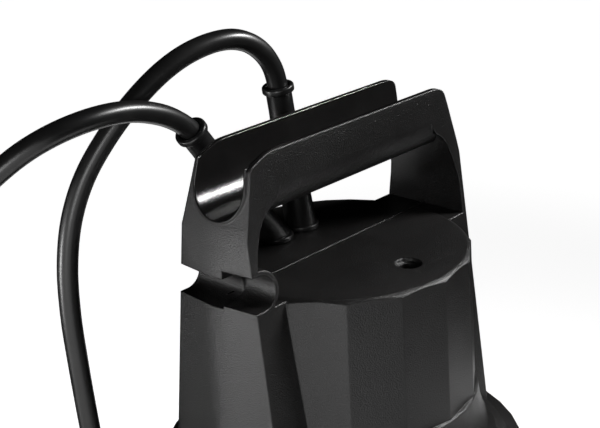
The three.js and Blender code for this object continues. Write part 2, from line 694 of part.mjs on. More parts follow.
// A tube of short straight lengths, each mitred to the next.
function mitredTube(points, radius, sides) {
  const up = new THREE.Vector3(0, 0, 1);
  return lofted(points.map((point, i) => {
    const before = points[Math.max(i - 1, 0)];
    const after = points[Math.min(i + 1, points.length - 1)];
    const forward = i === 0 || i === points.length - 1
      ? new THREE.Vector3(0, -1, 0) : after.clone().sub(before).normalize();
    const side = new THREE.Vector3().crossVectors(forward, up).normalize();
    const rise = new THREE.Vector3().crossVectors(side, forward);
    return evenly(sides, Math.PI / sides).map((turn) => point.clone()
      .addScaledVector(side, radius * Math.cos(turn))
      .addScaledVector(rise, radius * Math.sin(turn)));
  }));
}

function leastSelfGap(points, radius, apart) {
  let least = Infinity;
  for (let i = 0; i < points.length; i += 1) {
    for (let j = i + apart; j < points.length; j += 1) {
      least = Math.min(least, points[i].distanceTo(points[j]));
    }
  }
  return least - 2 * radius;
}

const coilPoints = coilRoute();
console.log('least gap between turns of the coil, mm:',
  leastSelfGap(coilPoints.slice(1, -1), cable.radius, Math.floor(coil.steps / 2)).toFixed(2));

// Plug, which lies on the coil and points along +X

function alongPlug(solid) {
  const turn = new THREE.Matrix4().makeBasis(
    new THREE.Vector3(0, 1, 0), new THREE.Vector3(0, 0, 1), new THREE.Vector3(1, 0, 0));
  return placed(solid, turn.setPosition(plugX + clearance, plugY, plugZ));
}

const plugFace = plug.neckLength + plug.length;
const pinPlaces = [-plug.pinGap / 2, plug.pinGap / 2];

function plugBody() {
  const body = turned([
    [0, 0], [plug.neckRadius - 0.8, 0], [plug.neckRadius, plug.neckLength * 0.5],
    [plug.neckRadius + 2, plug.neckLength], [plug.radius - 1.5, plug.neckLength + plug.shoulder],
    [plug.radius, plug.neckLength + plug.shoulder + 4], [plug.radius, plugFace - plug.edge],
    [plug.radius - plug.edge, plugFace], [0, plugFace],
  ], roundSteps);
  const flats = [-1, 1].map((side) => alongZ(boxShape(-7, 7, 0, 9), plugFace - 22, plugFace + past)
    .translate([0, side > 0 ? plug.radius - plug.flat : -plug.radius + plug.flat - 9, 0]));
  const sockets = pinPlaces.map((x) => rod(
    plug.pinRadius + clearance, plugFace - plug.pinSocket, plugFace + past, smallSteps, x, 0));
  return alongPlug(lessAll(body, [...flats, ...sockets]));
}

function plugPin(x) {
  const start = plugFace - plug.pinSocket + clearance;
  const end = plugFace + plug.pinLength;
  return alongPlug(turned([
    [0, start], [plug.pinRadius, start], [plug.pinRadius, end - 2], [plug.pinRadius - 1.4, end], [0, end],
  ], smallSteps, x, 0));
}

// Float switch, which lies on the coil at the end of its own cable

const floatStations = [
  [0, 0], [0.05, 0.16], [0.2, 0.52], [0.38, 0.83], [0.58, 1], [0.8, 0.98], [0.93, 0.86], [0.985, 0.7],
  [1, 0.55],
];

// Half the width and height of the float at a share of its length from the neck.
function floatSection(share, inset) {
  const blend = THREE.MathUtils.lerp;
  const station = floatStations.findIndex(([s]) => s >= share);
  const [s1, g1] = floatStations[Math.max(station, 1)];
  const [s0, g0] = floatStations[Math.max(station, 1) - 1];
  const grow = blend(g0, g1, (share - s0) / (s1 - s0));
  return [
    blend(float.neckWidth, float.width, grow) / 2 - inset,
    blend(float.neckHeight, float.height, grow) / 2 - inset,
  ];
}

function floatForm(inset) {
  const x0 = float.neckX - inset;
  const x1 = float.neckX - float.length + inset;
  const shares = floatStations.map(([s]) => s);
  return lofted(shares.map((share) => {
    const [halfWidth, halfHeight] = floatSection(share, inset);
    const x = THREE.MathUtils.lerp(x0, x1, share);
    return evenly(16, Math.PI / 16).map((turn) => {
      const power = 2 / 3.4;
      const c = Math.cos(turn);
      const s = Math.sin(turn);
      return new THREE.Vector3(
        x,
        float.y + halfWidth * Math.sign(c) * Math.abs(c) ** power,
        floatZ + halfHeight * Math.sign(s) * Math.abs(s) ** power);
    });
  }));
}

// Moves a solid made round +Z onto the float's long axis, from the neck towards the tail.
function alongFloat(solid) {
  const turn = new THREE.Matrix4().makeBasis(
    new THREE.Vector3(0, 0, 1), new THREE.Vector3(0, 1, 0), new THREE.Vector3(-1, 0, 0));
  return placed(solid, turn.setPosition(float.neckX, float.y, floatZ));
}

const ballFarX = float.neckX - float.length + float.wall + float.ballRadius + clearance;
const ballHalfGap = float.railGap / 2;
const railZ = floatBase + float.railTop;
const ballZ = railZ + Math.sqrt(float.ballRadius ** 2 - ballHalfGap ** 2) + clearance;
const switchX = ballFarX + float.ballTravel + float.ballRadius + clearance;

function floatShell(part) {
  const reach = float.length + 9;
  const [x0, x1] = [float.neckX - reach, float.neckX + 9];
  const [z0, z1] = part === 'lower'
    ? [floatZ - float.height, floatZ - clearance / 2]
    : [floatZ + clearance / 2, floatZ + float.height];
  const half = alongZ(boxShape(x0, x1, float.y - float.width, float.y + float.width), z0, z1);
  const hole = alongFloat(rod(float.grommetRadius + float.boreGap, -past, float.wall + past, 16));
  const cup = lessAll(floatForm(0), [floatForm(float.wall), hole]).intersect(half);
  if (part !== 'lower') return cup;
  const railEnds = [ballFarX - float.ballRadius - 2, switchX + float.switchLength];
  const rails = [-1, 1].map((side) => {
    const inner = float.y + side * ballHalfGap;
    const outer = inner + side * float.railWidth;
    return alongZ(
      boxShape(railEnds[0], railEnds[1], Math.min(inner, outer), Math.max(inner, outer)), floatBase, railZ);
  });
  return cup.add(join(...rails).intersect(floatForm(float.wall / 2)));
}

function floatGrommet() {
  const { grommetRadius, grommetTip, grommetLength, grommetInside, grommetFlange } = float;
  const inner = float.wall + clearance;
  const body = alongFloat(turned([
    [0, -grommetLength], [grommetTip, -grommetLength], [grommetRadius, -1], [grommetRadius, inner],
    [float.grommetFlangeRadius, inner], [float.grommetFlangeRadius, inner + grommetFlange],
    [0, Math.max(inner + grommetFlange, grommetInside)],
  ], 16));
  return body.subtract(tubeAlong(floatRoute, boreRadius));
}

// Pump chamber, suction and outlet

function volute() {
  const steps = 18;
  const outline = [];
  for (let i = 0; i < steps; i += 1) {
    const share = i / (steps - 1);
    const radius = chamberRadius + lower.voluteGrowth * share;
    const { x, y } = onCircle(radius, Math.PI + 0.35 - 2 * Math.PI * (1 - share) * 0.93);
    outline.push([x, y]);
  }
  return alongZ(polygonShape(outline), recessZ + lower.voluteMargin, chamberZ - lower.voluteMargin);
}

const bossEnd = lower.topRadius + outlet.bossReach;
const stubEnd = bossEnd + outlet.stubLength;
const bossRadius = outlet.bore + outlet.bossWall;
const stubRadius = outlet.bore + outlet.stubWall;

function lowerCasing() {
  const outer = turned([
    [0, lowerZ], [lower.bottomRadius, lowerZ],
    [lower.topRadius, jointZ - lower.flangeThickness - lower.foot],
    [lower.topRadius, jointZ - lower.flangeThickness], [flangeRadius, jointZ - lower.flangeThickness],
    [flangeRadius, jointZ], [0, jointZ],
  ], 40);
  const boss = turnedOut([
    [0, chamberRadius + 3], [bossRadius, chamberRadius + 3], [bossRadius, bossEnd - 1],
    [bossRadius - 1, bossEnd], [stubRadius, bossEnd], [stubRadius, stubEnd - 1.2],
    [stubRadius - 1.2, stubEnd], [0, stubEnd],
  ], 24, 0, outletZ);
  const seatBore = seal.seatRadius + clearance;
  const seatRoom = turned([
    [0, chamberZ - past], [seatBore, chamberZ - past], [seatBore, webZ], [sealRoomRadius, webZ],
    [sealRoomRadius, ledgeZ], [seatRadius, ledgeZ], [seatRadius, jointZ + past], [0, jointZ + past],
  ], fineSteps);
  const chamber = turned([
    [0, lowerZ - past], [recessRadius, lowerZ - past], [recessRadius, recessZ],
    [chamberRadius, recessZ], [chamberRadius, chamberZ], [0, chamberZ],
  ], fineSteps);
  const bore = turnedOut([
    [0, chamberRadius - 6], [outlet.bore, chamberRadius - 6], [outlet.bore, stubEnd + past],
    [0, stubEnd + past],
  ], roundSteps, 0, outletZ);
  const grooveZ = jointZ - 2 * oring.section - clearance;
  const groove = ring(oringRadius - oring.section - clearance, oringRadius + oring.section + clearance,
    grooveZ, jointZ + past, fineSteps);
  const screwHoles = [
    ...flangeScrewPlaces.map(({ x, y }) => rod(flangeScrew.shankRadius + clearance,
      jointZ - lower.flangeThickness - past, jointZ + past, smallSteps, x, y)),
    ...strainerScrewPlaces.map(({ x, y }) => rod(strainerScrew.shankRadius + clearance,
      lowerZ - past, lowerZ + strainerScrew.bite + clearance, smallSteps, x, y)),
  ];
  return lessAll(join(outer, boss), [seatRoom, chamber, volute(), bore, groove, ...screwHoles]);
}

function suctionPlate() {
  return ring(suction.eye, recessRadius - clearance, lowerZ, suctionTop, fineSteps);
}

function strainerBase() {
  const ringBottom = strainer.height - strainer.ringThickness;
  const inner = recessRadius - strainer.ringOverlap;
  const wallAt = (z) => strainerFoot + (strainer.draft * z) / strainer.height;
  const bowl = turned([
    [0, 0], [strainerFoot - strainer.footEdge, 0], [strainerFoot, strainer.footEdge],
    [strainerTop, strainer.height], [inner, strainer.height], [inner, ringBottom],
    [wallAt(ringBottom) - strainer.wall, ringBottom],
    [wallAt(strainer.floor) - strainer.wall, strainer.floor], [0, strainer.floor],
  ], 36);
  const outside = turned([
    [0, 0], [strainerFoot - strainer.wall / 2, 0], [strainerTop - strainer.wall / 2, strainer.height],
    [0, strainer.height],
  ], 36);
  const posts = strainerScrewPlaces.map(({ x, y }) => rod(
    strainer.postRadius, strainer.floor - 1, ringBottom + 1, 12, x, y).intersect(outside));
  const slot = alongZ(
    boxShape(postCircle + 2, strainerTop + 5, -strainer.slotWidth / 2, strainer.slotWidth / 2),
    strainer.slotBottom, strainer.height - strainer.slotTopMargin);
  const cuts = evenly(strainer.slots, Math.PI / strainer.slots)
    .map((turn) => slot.rotate([0, 0, THREE.MathUtils.radToDeg(turn)]));
  for (const { x, y } of strainerScrewPlaces) {
    cuts.push(rod(strainerScrew.headRadius + clearance, -past, strainer.floor, smallSteps, x, y));
    cuts.push(rod(strainerScrew.shankRadius + clearance, strainer.floor - 1, strainer.height + past,
      smallSteps, x, y));
  }
  return lessAll(join(bowl, ...posts), cuts);
}

// A screw that points up, with its head's upper face at z.
function risingScrew({ x, y }, { headRadius, headHeight, shankRadius }, z, length) {
  return turned([
    [0, z - headHeight], [headRadius, z - headHeight], [headRadius, z], [shankRadius, z],
    [shankRadius, z + length], [0, z + length],
  ], smallSteps, x, y);
}

function topScrewBody({ x, y }) {
  const headRadius = recess.bore - clearance;
  const seat = screwSeatZ + clearance;
  const tip = upperBracketTop - topScrew.bite;
  const top = seat + topScrew.headHeight;
  const screw = turned([
    [0, tip], [topScrew.shankRadius - 0.9, tip], [topScrew.shankRadius, tip + 1],
    [topScrew.shankRadius, seat], [headRadius, seat], [headRadius, top - 0.6],
    [headRadius - 0.6, top], [0, top],
  ], smallSteps, x, y);
  return screw.subtract(rod(topScrew.socketRadius, top - topScrew.socketDepth, top + past, 6, x, y));
}

function casingOring() {
  const z = jointZ - oring.section;
  const profile = evenly(6).map((turn) => [
    oringRadius + oring.section * Math.cos(turn), z + oring.section * Math.sin(turn)]);
  return turned([...profile, profile[0]], fineSteps);
}

function impellerBody() {
  const radius = chamberRadius - impeller.tipGap;
  const bore = lowerBore;
  const disc = turned([
    [shaft.thread + clearance, hubZ], [impeller.hubRadius, hubZ], [impeller.hubRadius, shroudZ],
    [radius, shroudZ], [radius, shroudZ + impeller.shroud - 1], [radius - 1, shroudZ + impeller.shroud],
    [impeller.hubRadius, shroudZ + impeller.shroud], [impeller.hubRadius, headZ], [bore, headZ],
    [bore, hubZ + impeller.hubWeb], [shaft.thread + clearance, hubZ + impeller.hubWeb],
    [shaft.thread + clearance, hubZ],
  ], 20);
  const steps = 5;
  const rim = (side) => Array.from({ length: steps + 1 }, (_, i) => {
    const share = i / steps;
    const r = THREE.MathUtils.lerp(impeller.bladeStart, radius - 0.5, share);
    const { x, y } = onCircle(r, impeller.sweep * share);
    const slope = impeller.sweep * share + 0.7;
    const offset = (side * impeller.bladeWall) / 2;
    return [x - offset * Math.sin(slope), y + offset * Math.cos(slope)];
  });
  const outline = [...rim(-1), ...rim(1).reverse()];
  const blade = alongZ(polygonShape(outline), bladeZ, shroudZ + 1);
  const blades = evenly(impeller.blades).map((turn) => blade.rotate([0, 0, THREE.MathUtils.radToDeg(turn)]));
  return join(disc, ...blades);
}

function impellerNutBody() {
  const top = hubZ - clearance;
  const bottom = top - impellerNut.height;
  return rod(impellerNut.radius, bottom, top, impellerNut.corners)
    .subtract(rod(shaft.thread + clearance, bottom - past, top + past, 16));
}

// Shaft, seals, bearings and motor

const shaftTop = upperBearingTop - clearance;

function shaftBody() {
  const shoulder = hubZ + impeller.hubWeb + clearance;
  const coreStart = lowerBearingTop + clearance;
  const coreEnd = upperBearingZ - clearance;
  return turned([
    [0, hubZ - impellerNut.height - clearance], [shaft.thread, hubZ - impellerNut.height - clearance],
    [shaft.thread, shoulder], [shaft.lower, shoulder], [shaft.lower, coreStart], [shaft.core, coreStart],
    [shaft.core, coreEnd], [shaft.upper, coreEnd], [shaft.upper, shaftTop - 0.8],
    [shaft.upper - 0.8, shaftTop], [0, shaftTop],
  ], 16);
}

function sealHead() {
  const z0 = headZ + clearance;
  const z1 = chamberZ - clearance;
  return turned([
    [lowerBore, z0], [seal.headRadius, z0], [seal.headRadius, z1 - 2], [seal.headRadius - 2, z1 - 1.4],
    [seal.headRadius - 2, z1], [lowerBore, z1], [lowerBore, z0],
  ], 16);
}

function sealSeat() {
  const inner = lowerBore + seal.runningGap;
  const lipRadius = seal.seatRadius + seal.lipWidth;
  return turned([
    [inner, chamberZ], [seal.seatRadius, chamberZ], [seal.seatRadius, webZ + clearance],
    [lipRadius, webZ + clearance], [lipRadius, seatTop], [inner, seatTop], [inner, chamberZ],
  ], 16);
}

function bearing({ radius, width, wall }, bore, z) {
  const groove = 0.8;
  const [r0, r1] = [bore + wall, radius - wall];
  return turned([
    [bore, z], [radius, z], [radius, z + width], [r1, z + width], [r1, z + width - groove],
    [r0, z + width - groove],
    [r0, z + width], [bore, z + width], [bore, z],
  ], 16);
}

function lowerBracketBody() {
  const pocket = lowerBearing.radius + clearance;
  const neck = lipSeal.radius + clearance;
  const neckOuter = neck + lowerBracket.wall;
  const shaftHole = lowerBore + 1;
  const top = bracketZ + lowerBracket.disc;
  return turned([
    [neck, lipSealZ], [neckOuter, lipSealZ], [neckOuter, bracketZ], [seatRadius - clearance, bracketZ],
    [seatRadius - clearance, top], [pocket + lowerBracket.wall, top],
    [pocket + lowerBracket.wall, lowerBearingTop], [pocket, lowerBearingTop],
    [pocket, bracketZ + lowerBracket.web], [shaftHole, bracketZ + lowerBracket.web],
    [shaftHole, bracketZ], [neck, bracketZ], [neck, lipSealZ],
  ], fineSteps);
}

function upperBracketBody() {
  const pocket = upperBearing.radius + clearance;
  const outer = canRadius + clearance * 6;
  const body = turned([
    [pocket, upperBearingZ], [pocket + upperBracket.wall, upperBearingZ],
    [pocket + upperBracket.wall, upperBracketZ], [outer, upperBracketZ], [outer, upperBracketTop],
    [0, upperBracketTop], [0, upperBearingTop + clearance], [pocket, upperBearingTop + clearance],
    [pocket, upperBearingZ],
  ], 24);
  return lessAll(body, topScrewPlaces.map(({ x, y }) => rod(
    topScrew.shankRadius + clearance, upperBracketZ - past, upperBracketTop + past, smallSteps, x, y)));
}

function statorCore() {
  const half = motor.slotWidth / 2;
  const outline = new THREE.Shape().absarc(0, 0, statorRadius, 0, 2 * Math.PI);
  const hole = [];
  for (const turn of evenly(motor.slots)) {
    const side = Math.asin(half / motor.bore);
    const deep = motor.bore + motor.slotDepth;
    for (const [r, a] of [[motor.bore, turn - side], [deep, turn - half / deep],
      [deep, turn + half / deep], [motor.bore, turn + side]]) {
      hole.push(new THREE.Vector2(r * Math.cos(a), r * Math.sin(a)));
    }
  }
  outline.holes.push(new THREE.Path(hole.reverse()));
  return alongZ(outline, stackZ, stackTop, 20);
}

function winding(z0, z1) {
  const inner = motor.bore + motor.turnInset;
  const outer = statorRadius - motor.turnInset;
  const round = 2.5;
  return turned([
    [inner, z0], [outer - round, z0], [outer, z0 + round], [outer, z1 - round], [outer - round, z1],
    [inner, z1], [inner, z0],
  ], roundSteps);
}

const capacitorZ = upperBracketTop + clearance + capacitor.radius;

// Moves a solid made round +Z onto an axis along +X on the upper bracket.
function alongCapacitor(solid) {
  const turn = new THREE.Matrix4().makeBasis(
    new THREE.Vector3(0, 0, -1), new THREE.Vector3(0, 1, 0), new THREE.Vector3(1, 0, 0));
  return placed(solid, turn.setPosition(capacitor.x, capacitor.y, capacitorZ));
}

function capacitorBody() {
  const half = capacitor.length / 2;
  return alongCapacitor(turned([
    [0, -half], [capacitor.radius - 1, -half], [capacitor.radius, 1 - half],
    [capacitor.radius, half - 1], [capacitor.radius - 1, half], [0, half],
  ], roundSteps));
}

function capacitorClip() {
  const inner = capacitor.radius + clearance;
  const outer = inner + capacitor.strap;
  const half = capacitor.strapWidth / 2;
  const floorZ = upperBracketTop + clearance;
  const foot = outer + capacitor.footLength;
  const shape = boxShape(-foot, foot, floorZ, floorZ + capacitor.strap);
  const band = alongX(circleShape(0, capacitorZ, outer), -half, half, 10);
  const post = alongX(boxShape(-outer, outer, floorZ, capacitorZ), -half, half);
  const gap = join(
    alongX(circleShape(0, capacitorZ, inner), -half - past, half + past, 10),
    alongX(boxShape(-inner, inner, floorZ - past, capacitorZ), -half - past, half + past));
  const above = alongZ(boxShape(-half - past, half + past, -foot, foot), floorZ, capacitorZ + 2 * outer);
  return join(band, post, alongX(shape, -half, half)).intersect(above).subtract(gap)
    .translate([capacitor.x, capacitor.y, 0]);
}

function terminalBody() {
  const { length, width, height, x, y, screwGap, screwRadius } = terminalBlock;
  const z = upperBracketTop + clearance;
  const block = alongZ(boxShape(x - length / 2, x + length / 2, y - width / 2, y + width / 2), z, z + height);
  return lessAll(block, [-screwGap / 2, screwGap / 2].map(
    (offset) => rod(screwRadius, z + height - 5, z + height + past, 12, x + offset, y)));
}

// Outlet fittings

const gasketX = stubEnd + clearance;
const hoseX = gasketX + hose.gasket + clearance;
const pipeRadius = outlet.bore + hose.pipeWall;

function outletGasket() {
  return turnedOut([
    [outlet.bore, gasketX], [stubRadius - 0.8, gasketX], [stubRadius - 0.8, gasketX + hose.gasket],
    [outlet.bore, gasketX + hose.gasket], [outlet.bore, gasketX],
  ], roundSteps, 0, outletZ);
}

function hoseConnector() {
  const flangeEnd = hoseX + hose.flange;
  const end = flangeEnd + hose.pipeLength;
  const barbs = [];
  for (let i = 0; i < hose.barbs; i += 1) {
    const tip = end - 1 - (hose.barbs - 1 - i) * hose.barbPitch;
    const ridge = tip - 0.75 * hose.barbPitch;
    barbs.push(
      [pipeRadius, ridge], [pipeRadius + hose.barbHeight, ridge + 0.4], [pipeRadius, tip]);
  }
  return turnedOut([
    [outlet.bore, hoseX], [stubRadius - 0.8, hoseX], [stubRadius - 0.8, flangeEnd], [pipeRadius, flangeEnd],
    ...barbs, [pipeRadius - 1, end], [outlet.bore, end], [outlet.bore, hoseX],
  ], roundSteps, 0, outletZ);
}

function unionNut() {
  const lipStart = hoseX + hose.flange + clearance;
  const end = lipStart + hose.nutLip;
  const start = end - hose.nutLength;
  const outer = stubRadius + clearance + hose.nutWall;
  const body = turnedOut([
    [stubRadius + clearance, start], [outer - 1, start], [outer, start + 1], [outer, end - 2],
    [outer - 2, end], [pipeRadius + clearance, end], [pipeRadius + clearance, lipStart],
    [stubRadius + clearance, lipStart], [stubRadius + clearance, start],
  ], 20, 0, outletZ);
  const flutes = evenly(hose.flutes).map((turn) => {
    const { x, y } = onCircle(outer + hose.fluteRadius - hose.fluteDepth, turn);
    return alongX(circleShape(x, y + outletZ, hose.fluteRadius), -end - past, -start - 4, 4);
  });
  return lessAll(body, flutes);
}

// The pump

const model = new THREE.Group();

function piece(name, solid, color, roughness, metalness = 0) {
  const material = new THREE.MeshStandardMaterial({ color, roughness, metalness });
  const mesh = new THREE.Mesh(geometryOf(solid), material);
  mesh.name = name;
  model.add(mesh);
}

const casingBlack = 0x17171a;
const rubberBlack = 0x121213;
const steel = 0xa9abae;

piece('upper_casing', upperCasing(), casingBlack, 0.5);
for (const place of topScrewPlaces) {
  piece(place.name, topScrewBody(place), steel, 0.35, 0.9);
}
piece('power_cable_sleeve', cableSleeve(powerFoot, powerRoute), rubberBlack, 0.7);
piece('float_cable_sleeve', cableSleeve(floatFoot, floatRoute), rubberBlack, 0.7);
piece('cable_clamp', clampPlate(), casingBlack, 0.6);
piece('power_cable_run', tubeAlong(powerRoute, cable.radius), rubberBlack, 0.75);
piece('power_cable_coil', mitredTube(coilPoints, cable.radius, coil.sides), rubberBlack, 0.75);
piece('power_cable_tail', tubeAlong(tailRoute, cable.radius), rubberBlack, 0.75);
piece('mains_plug', plugBody(), rubberBlack, 0.6);
piece('plug_pin_left', plugPin(pinPlaces[0]), 0xc8c4b4, 0.3, 0.9);
piece('plug_pin_right', plugPin(pinPlaces[1]), 0xc8c4b4, 0.3, 0.9);
piece('float_cable_run', tubeAlong(floatRoute, cable.radius), rubberBlack, 0.75);

piece('float_cable_grommet', floatGrommet(), rubberBlack, 0.7);
piece('float_shell_lower', floatShell('lower'), casingBlack, 0.5);
piece('float_shell_upper', floatShell('upper'), casingBlack, 0.5);
const ball = new THREE.SphereGeometry(float.ballRadius, 14, 9);
piece('float_ball', solidOf(ball.translate(ballFarX, float.y, ballZ)), steel, 0.25, 0.9);
const [switchY0, switchY1] = [float.y - float.switchWidth / 2, float.y + float.switchWidth / 2];
piece('float_microswitch', alongZ(
  boxShape(switchX, switchX + float.switchLength, switchY0, switchY1),
  railZ + clearance, railZ + clearance + float.switchHeight), 0x2b2b2e, 0.5);

piece('lower_casing', lowerCasing(), casingBlack, 0.5);
piece('casing_oring', casingOring(), 0x101010, 0.8);
for (const place of flangeScrewPlaces) {
  const headTop = jointZ - lower.flangeThickness - clearance;
  const length = lower.flangeThickness + 2 * clearance + flangeScrew.bite;
  piece(place.name, risingScrew(place, flangeScrew, headTop, length), steel, 0.35, 0.9);
}
piece('suction_plate', suctionPlate(), casingBlack, 0.55);
piece('strainer_base', strainerBase(), casingBlack, 0.55);
for (const place of strainerScrewPlaces) {
  const headTop = strainer.floor - clearance;
  piece(place.name, risingScrew(place, strainerScrew, headTop, lowerZ + strainerScrew.bite - headTop),
    steel, 0.35, 0.9);
}

piece('impeller', impellerBody(), 0x2a2a2c, 0.5);
piece('impeller_nut', impellerNutBody(), steel, 0.35, 0.9);
piece('shaft', shaftBody(), steel, 0.3, 1);
piece('rotor_core', ring(shaft.core + clearance, rotorRadius, stackZ, stackTop), 0x6d6f72, 0.5, 0.7);
piece('seal_head', sealHead(), 0x3a3a3d, 0.4, 0.3);
piece('seal_seat', sealSeat(), 0xb9b3a6, 0.4);
piece('shaft_lip_seal', ring(lowerBore, lipSeal.radius, lipSealZ, bracketZ - clearance, 16), 0x141414, 0.8);
piece('lower_bearing', bearing(lowerBearing, lowerBore, lowerBearingZ), steel, 0.3, 1);
piece('upper_bearing', bearing(upperBearing, upperBore, upperBearingZ), steel, 0.3, 1);
piece('lower_bracket', lowerBracketBody(), 0x8f9194, 0.45, 0.8);
piece('upper_bracket', upperBracketBody(), 0x8f9194, 0.45, 0.8);
piece('motor_can', ring(canRadius - motor.canWall, canRadius, canZ, upperBracketZ - clearance, 40),
  0x9c9ea1, 0.4, 0.8);
piece('stator_core', statorCore(), 0x6d6f72, 0.5, 0.7);
piece('lower_winding', winding(stackZ - clearance - motor.turnHeight, stackZ - clearance),
  0x9a5a2c, 0.5, 0.3);
piece('upper_winding', winding(stackTop + clearance, stackTop + clearance + motor.turnHeight),
  0x9a5a2c, 0.5, 0.3);
piece('capacitor', capacitorBody(), 0xd8d8d4, 0.5);
piece('capacitor_clip', capacitorClip(), steel, 0.35, 0.9);
piece('terminal_block', terminalBody(), 0xe4e0d4, 0.5);

piece('outlet_gasket', outletGasket(), 0x141414, 0.8);
piece('outlet_union_nut', unionNut(), casingBlack, 0.55);
piece('hose_connector', hoseConnector(), casingBlack, 0.55);

export default model;
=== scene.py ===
import json
import math

import bmesh
import bpy
from mathutils import Matrix, Vector

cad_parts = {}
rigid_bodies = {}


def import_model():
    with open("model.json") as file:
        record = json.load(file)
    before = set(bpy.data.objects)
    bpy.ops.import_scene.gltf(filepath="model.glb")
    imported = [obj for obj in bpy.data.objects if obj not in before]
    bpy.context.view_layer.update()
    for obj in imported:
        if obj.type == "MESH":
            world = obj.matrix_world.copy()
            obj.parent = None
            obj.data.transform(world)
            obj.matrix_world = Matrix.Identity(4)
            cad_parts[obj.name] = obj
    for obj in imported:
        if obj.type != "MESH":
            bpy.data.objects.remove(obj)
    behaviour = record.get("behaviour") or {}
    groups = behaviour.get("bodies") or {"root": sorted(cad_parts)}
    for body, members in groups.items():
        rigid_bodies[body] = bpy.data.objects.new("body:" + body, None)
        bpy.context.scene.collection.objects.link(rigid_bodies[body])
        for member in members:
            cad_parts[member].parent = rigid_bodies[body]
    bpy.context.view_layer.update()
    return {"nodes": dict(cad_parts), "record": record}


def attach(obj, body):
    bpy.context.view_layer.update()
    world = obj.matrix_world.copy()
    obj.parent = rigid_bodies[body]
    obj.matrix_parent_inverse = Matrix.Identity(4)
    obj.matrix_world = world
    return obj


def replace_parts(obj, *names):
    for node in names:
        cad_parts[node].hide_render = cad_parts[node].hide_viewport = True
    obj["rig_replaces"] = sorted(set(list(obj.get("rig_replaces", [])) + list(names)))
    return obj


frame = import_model()
print("frame loaded:", len(frame["nodes"]), "nodes")

mm = 0.001
weld = {"made": 1e-6, "frame": 2e-6}
scene = bpy.context.scene
scene.view_settings.view_transform = "Standard"


# small helpers

def link(thing):
    scene.collection.objects.link(thing)
    return thing


def meshFrom(name, points, faces):
    # points in millimetres
    mesh = bpy.data.meshes.new(name)
    mesh.from_pydata([Vector(p) * mm for p in points], [], faces)
    mesh.validate()
    mesh.update()
    return link(bpy.data.objects.new(name, mesh))


def finishSurface(thing, angle=32):
    # welds the corners, turns the faces outward and shades round what bends less than the angle
    bm = bmesh.new()
    bm.from_mesh(thing.data)
    bmesh.ops.remove_doubles(bm, verts=bm.verts, dist=weld["made"])
    bmesh.ops.recalc_face_normals(bm, faces=bm.faces)
    bm.to_mesh(thing.data)
    bm.free()
    thing.data.shade_smooth()
    thing.data.set_sharp_from_angle(angle=math.radians(angle))
    return thing


def applied(thing):
    # turns the evaluated object into a plain mesh, its modifiers gone
    depsgraph = bpy.context.evaluated_depsgraph_get()
    mesh = bpy.data.meshes.new_from_object(thing.evaluated_get(depsgraph))
    result = link(bpy.data.objects.new(thing.name, mesh))
    name = thing.name
    bpy.data.objects.remove(thing)
    result.name = name
    mesh.name = name
    return result


def joined(name, *things):
    bm = bmesh.new()
    for thing in things:
        bm.from_mesh(thing.data)
    mesh = bpy.data.meshes.new(name)
    bm.to_mesh(mesh)
    bm.free()
    for thing in things:
        bpy.data.objects.remove(thing)
    return link(bpy.data.objects.new(name, mesh))


def spun(name, profile, steps, place=(0, 0, 0), axis=(0, 0, 1), closedRing=False):
    # a profile of (radius, height) turned round an axis
    turn = Vector((0, 0, 1)).rotation_difference(Vector(axis).normalized())
    points, faces = [], []
    for radius, height in profile:
        for i in range(steps):
            a = 2 * math.pi * i / steps
            reach = radius(a) if callable(radius) else radius
            local = Vector((reach * math.cos(a), reach * math.sin(a), height))
            points.append(turn @ local + Vector(place))
    rows = len(profile)
    for r in range(rows if closedRing else rows - 1):
        nextRow = (r + 1) % rows
        for i in range(steps):
            j = (i + 1) % steps
            faces.append((r * steps + i, r * steps + j, nextRow * steps + j, nextRow * steps + i))
    if not closedRing:
        faces.append(tuple(reversed(range(steps))))
        faces.append(tuple(range((rows - 1) * steps, rows * steps)))
    return finishSurface(meshFrom(name, points, faces))


def moved(thing, across, upward, along, place):
    # turns a piece made round +Z so that its axes lie along three directions
    turn = Matrix((across, upward, along)).transposed().to_4x4()
    thing.data.transform(Matrix.Translation(Vector(place) * mm) @ turn)
    return thing


def gripRib(rib, low, top, inner):
    # a rib along Z on a round wall, its ends sloped
    half, points = rib["halfWidth"], []
    for z, share in ((low, 0.0), (low + rib["slope"], 1.0), (top - rib["slope"], 1.0), (top, 0.0)):
        out = inner + rib["lip"] + (rib["high"] - rib["lip"]) * share
        side = out - rib["drop"] * share
        points += [(inner - rib["root"], -half, z), (side, -half * rib["shoulder"], z),
                   (out, -half * rib["flat"], z), (out, half * rib["flat"], z),
                   (side, half * rib["shoulder"], z), (inner - rib["root"], half, z)]
    return gridFaces(points, 6)


def gripRidge(ridge):
    # a ridge along Y across a plug's side, swelling to its middle
    last, sides, points = ridge["rows"] - 1, ridge["sides"], []
    for k in range(ridge["rows"]):
        y = -ridge["half"] + 2 * ridge["half"] * k / last
        r = ridge["radius"] * (ridge["least"] + ridge["swell"] * math.sin(math.pi * k / last))
        for i in range(sides):
            a = 2 * math.pi * i / sides
            points.append((r * ridge["wide"] * math.cos(a), y, r * math.sin(a)))
    return gridFaces(points, sides)


def block(low, high, edge=0.4):
    # a bar with its long edges bevelled
    (x0, y0, z0), (x1, y1, z1) = low, high
    section = [(y0 + edge, z0), (y1 - edge, z0), (y1, z0 + edge), (y1, z1 - edge), (y1 - edge, z1),
               (y0 + edge, z1), (y0, z1 - edge), (y0, z0 + edge)]
    return gridFaces([(x, y, z) for x in (x0, x1) for y, z in section], 8)


def gridFaces(points, around):
    rows = len(points) // around
    faces = [(r * around + i, r * around + (i + 1) % around, (r + 1) * around + (i + 1) % around,
              (r + 1) * around + i) for r in range(rows - 1) for i in range(around)]
    return points, faces + [tuple(range(around)), tuple(range((rows - 1) * around, rows * around))]


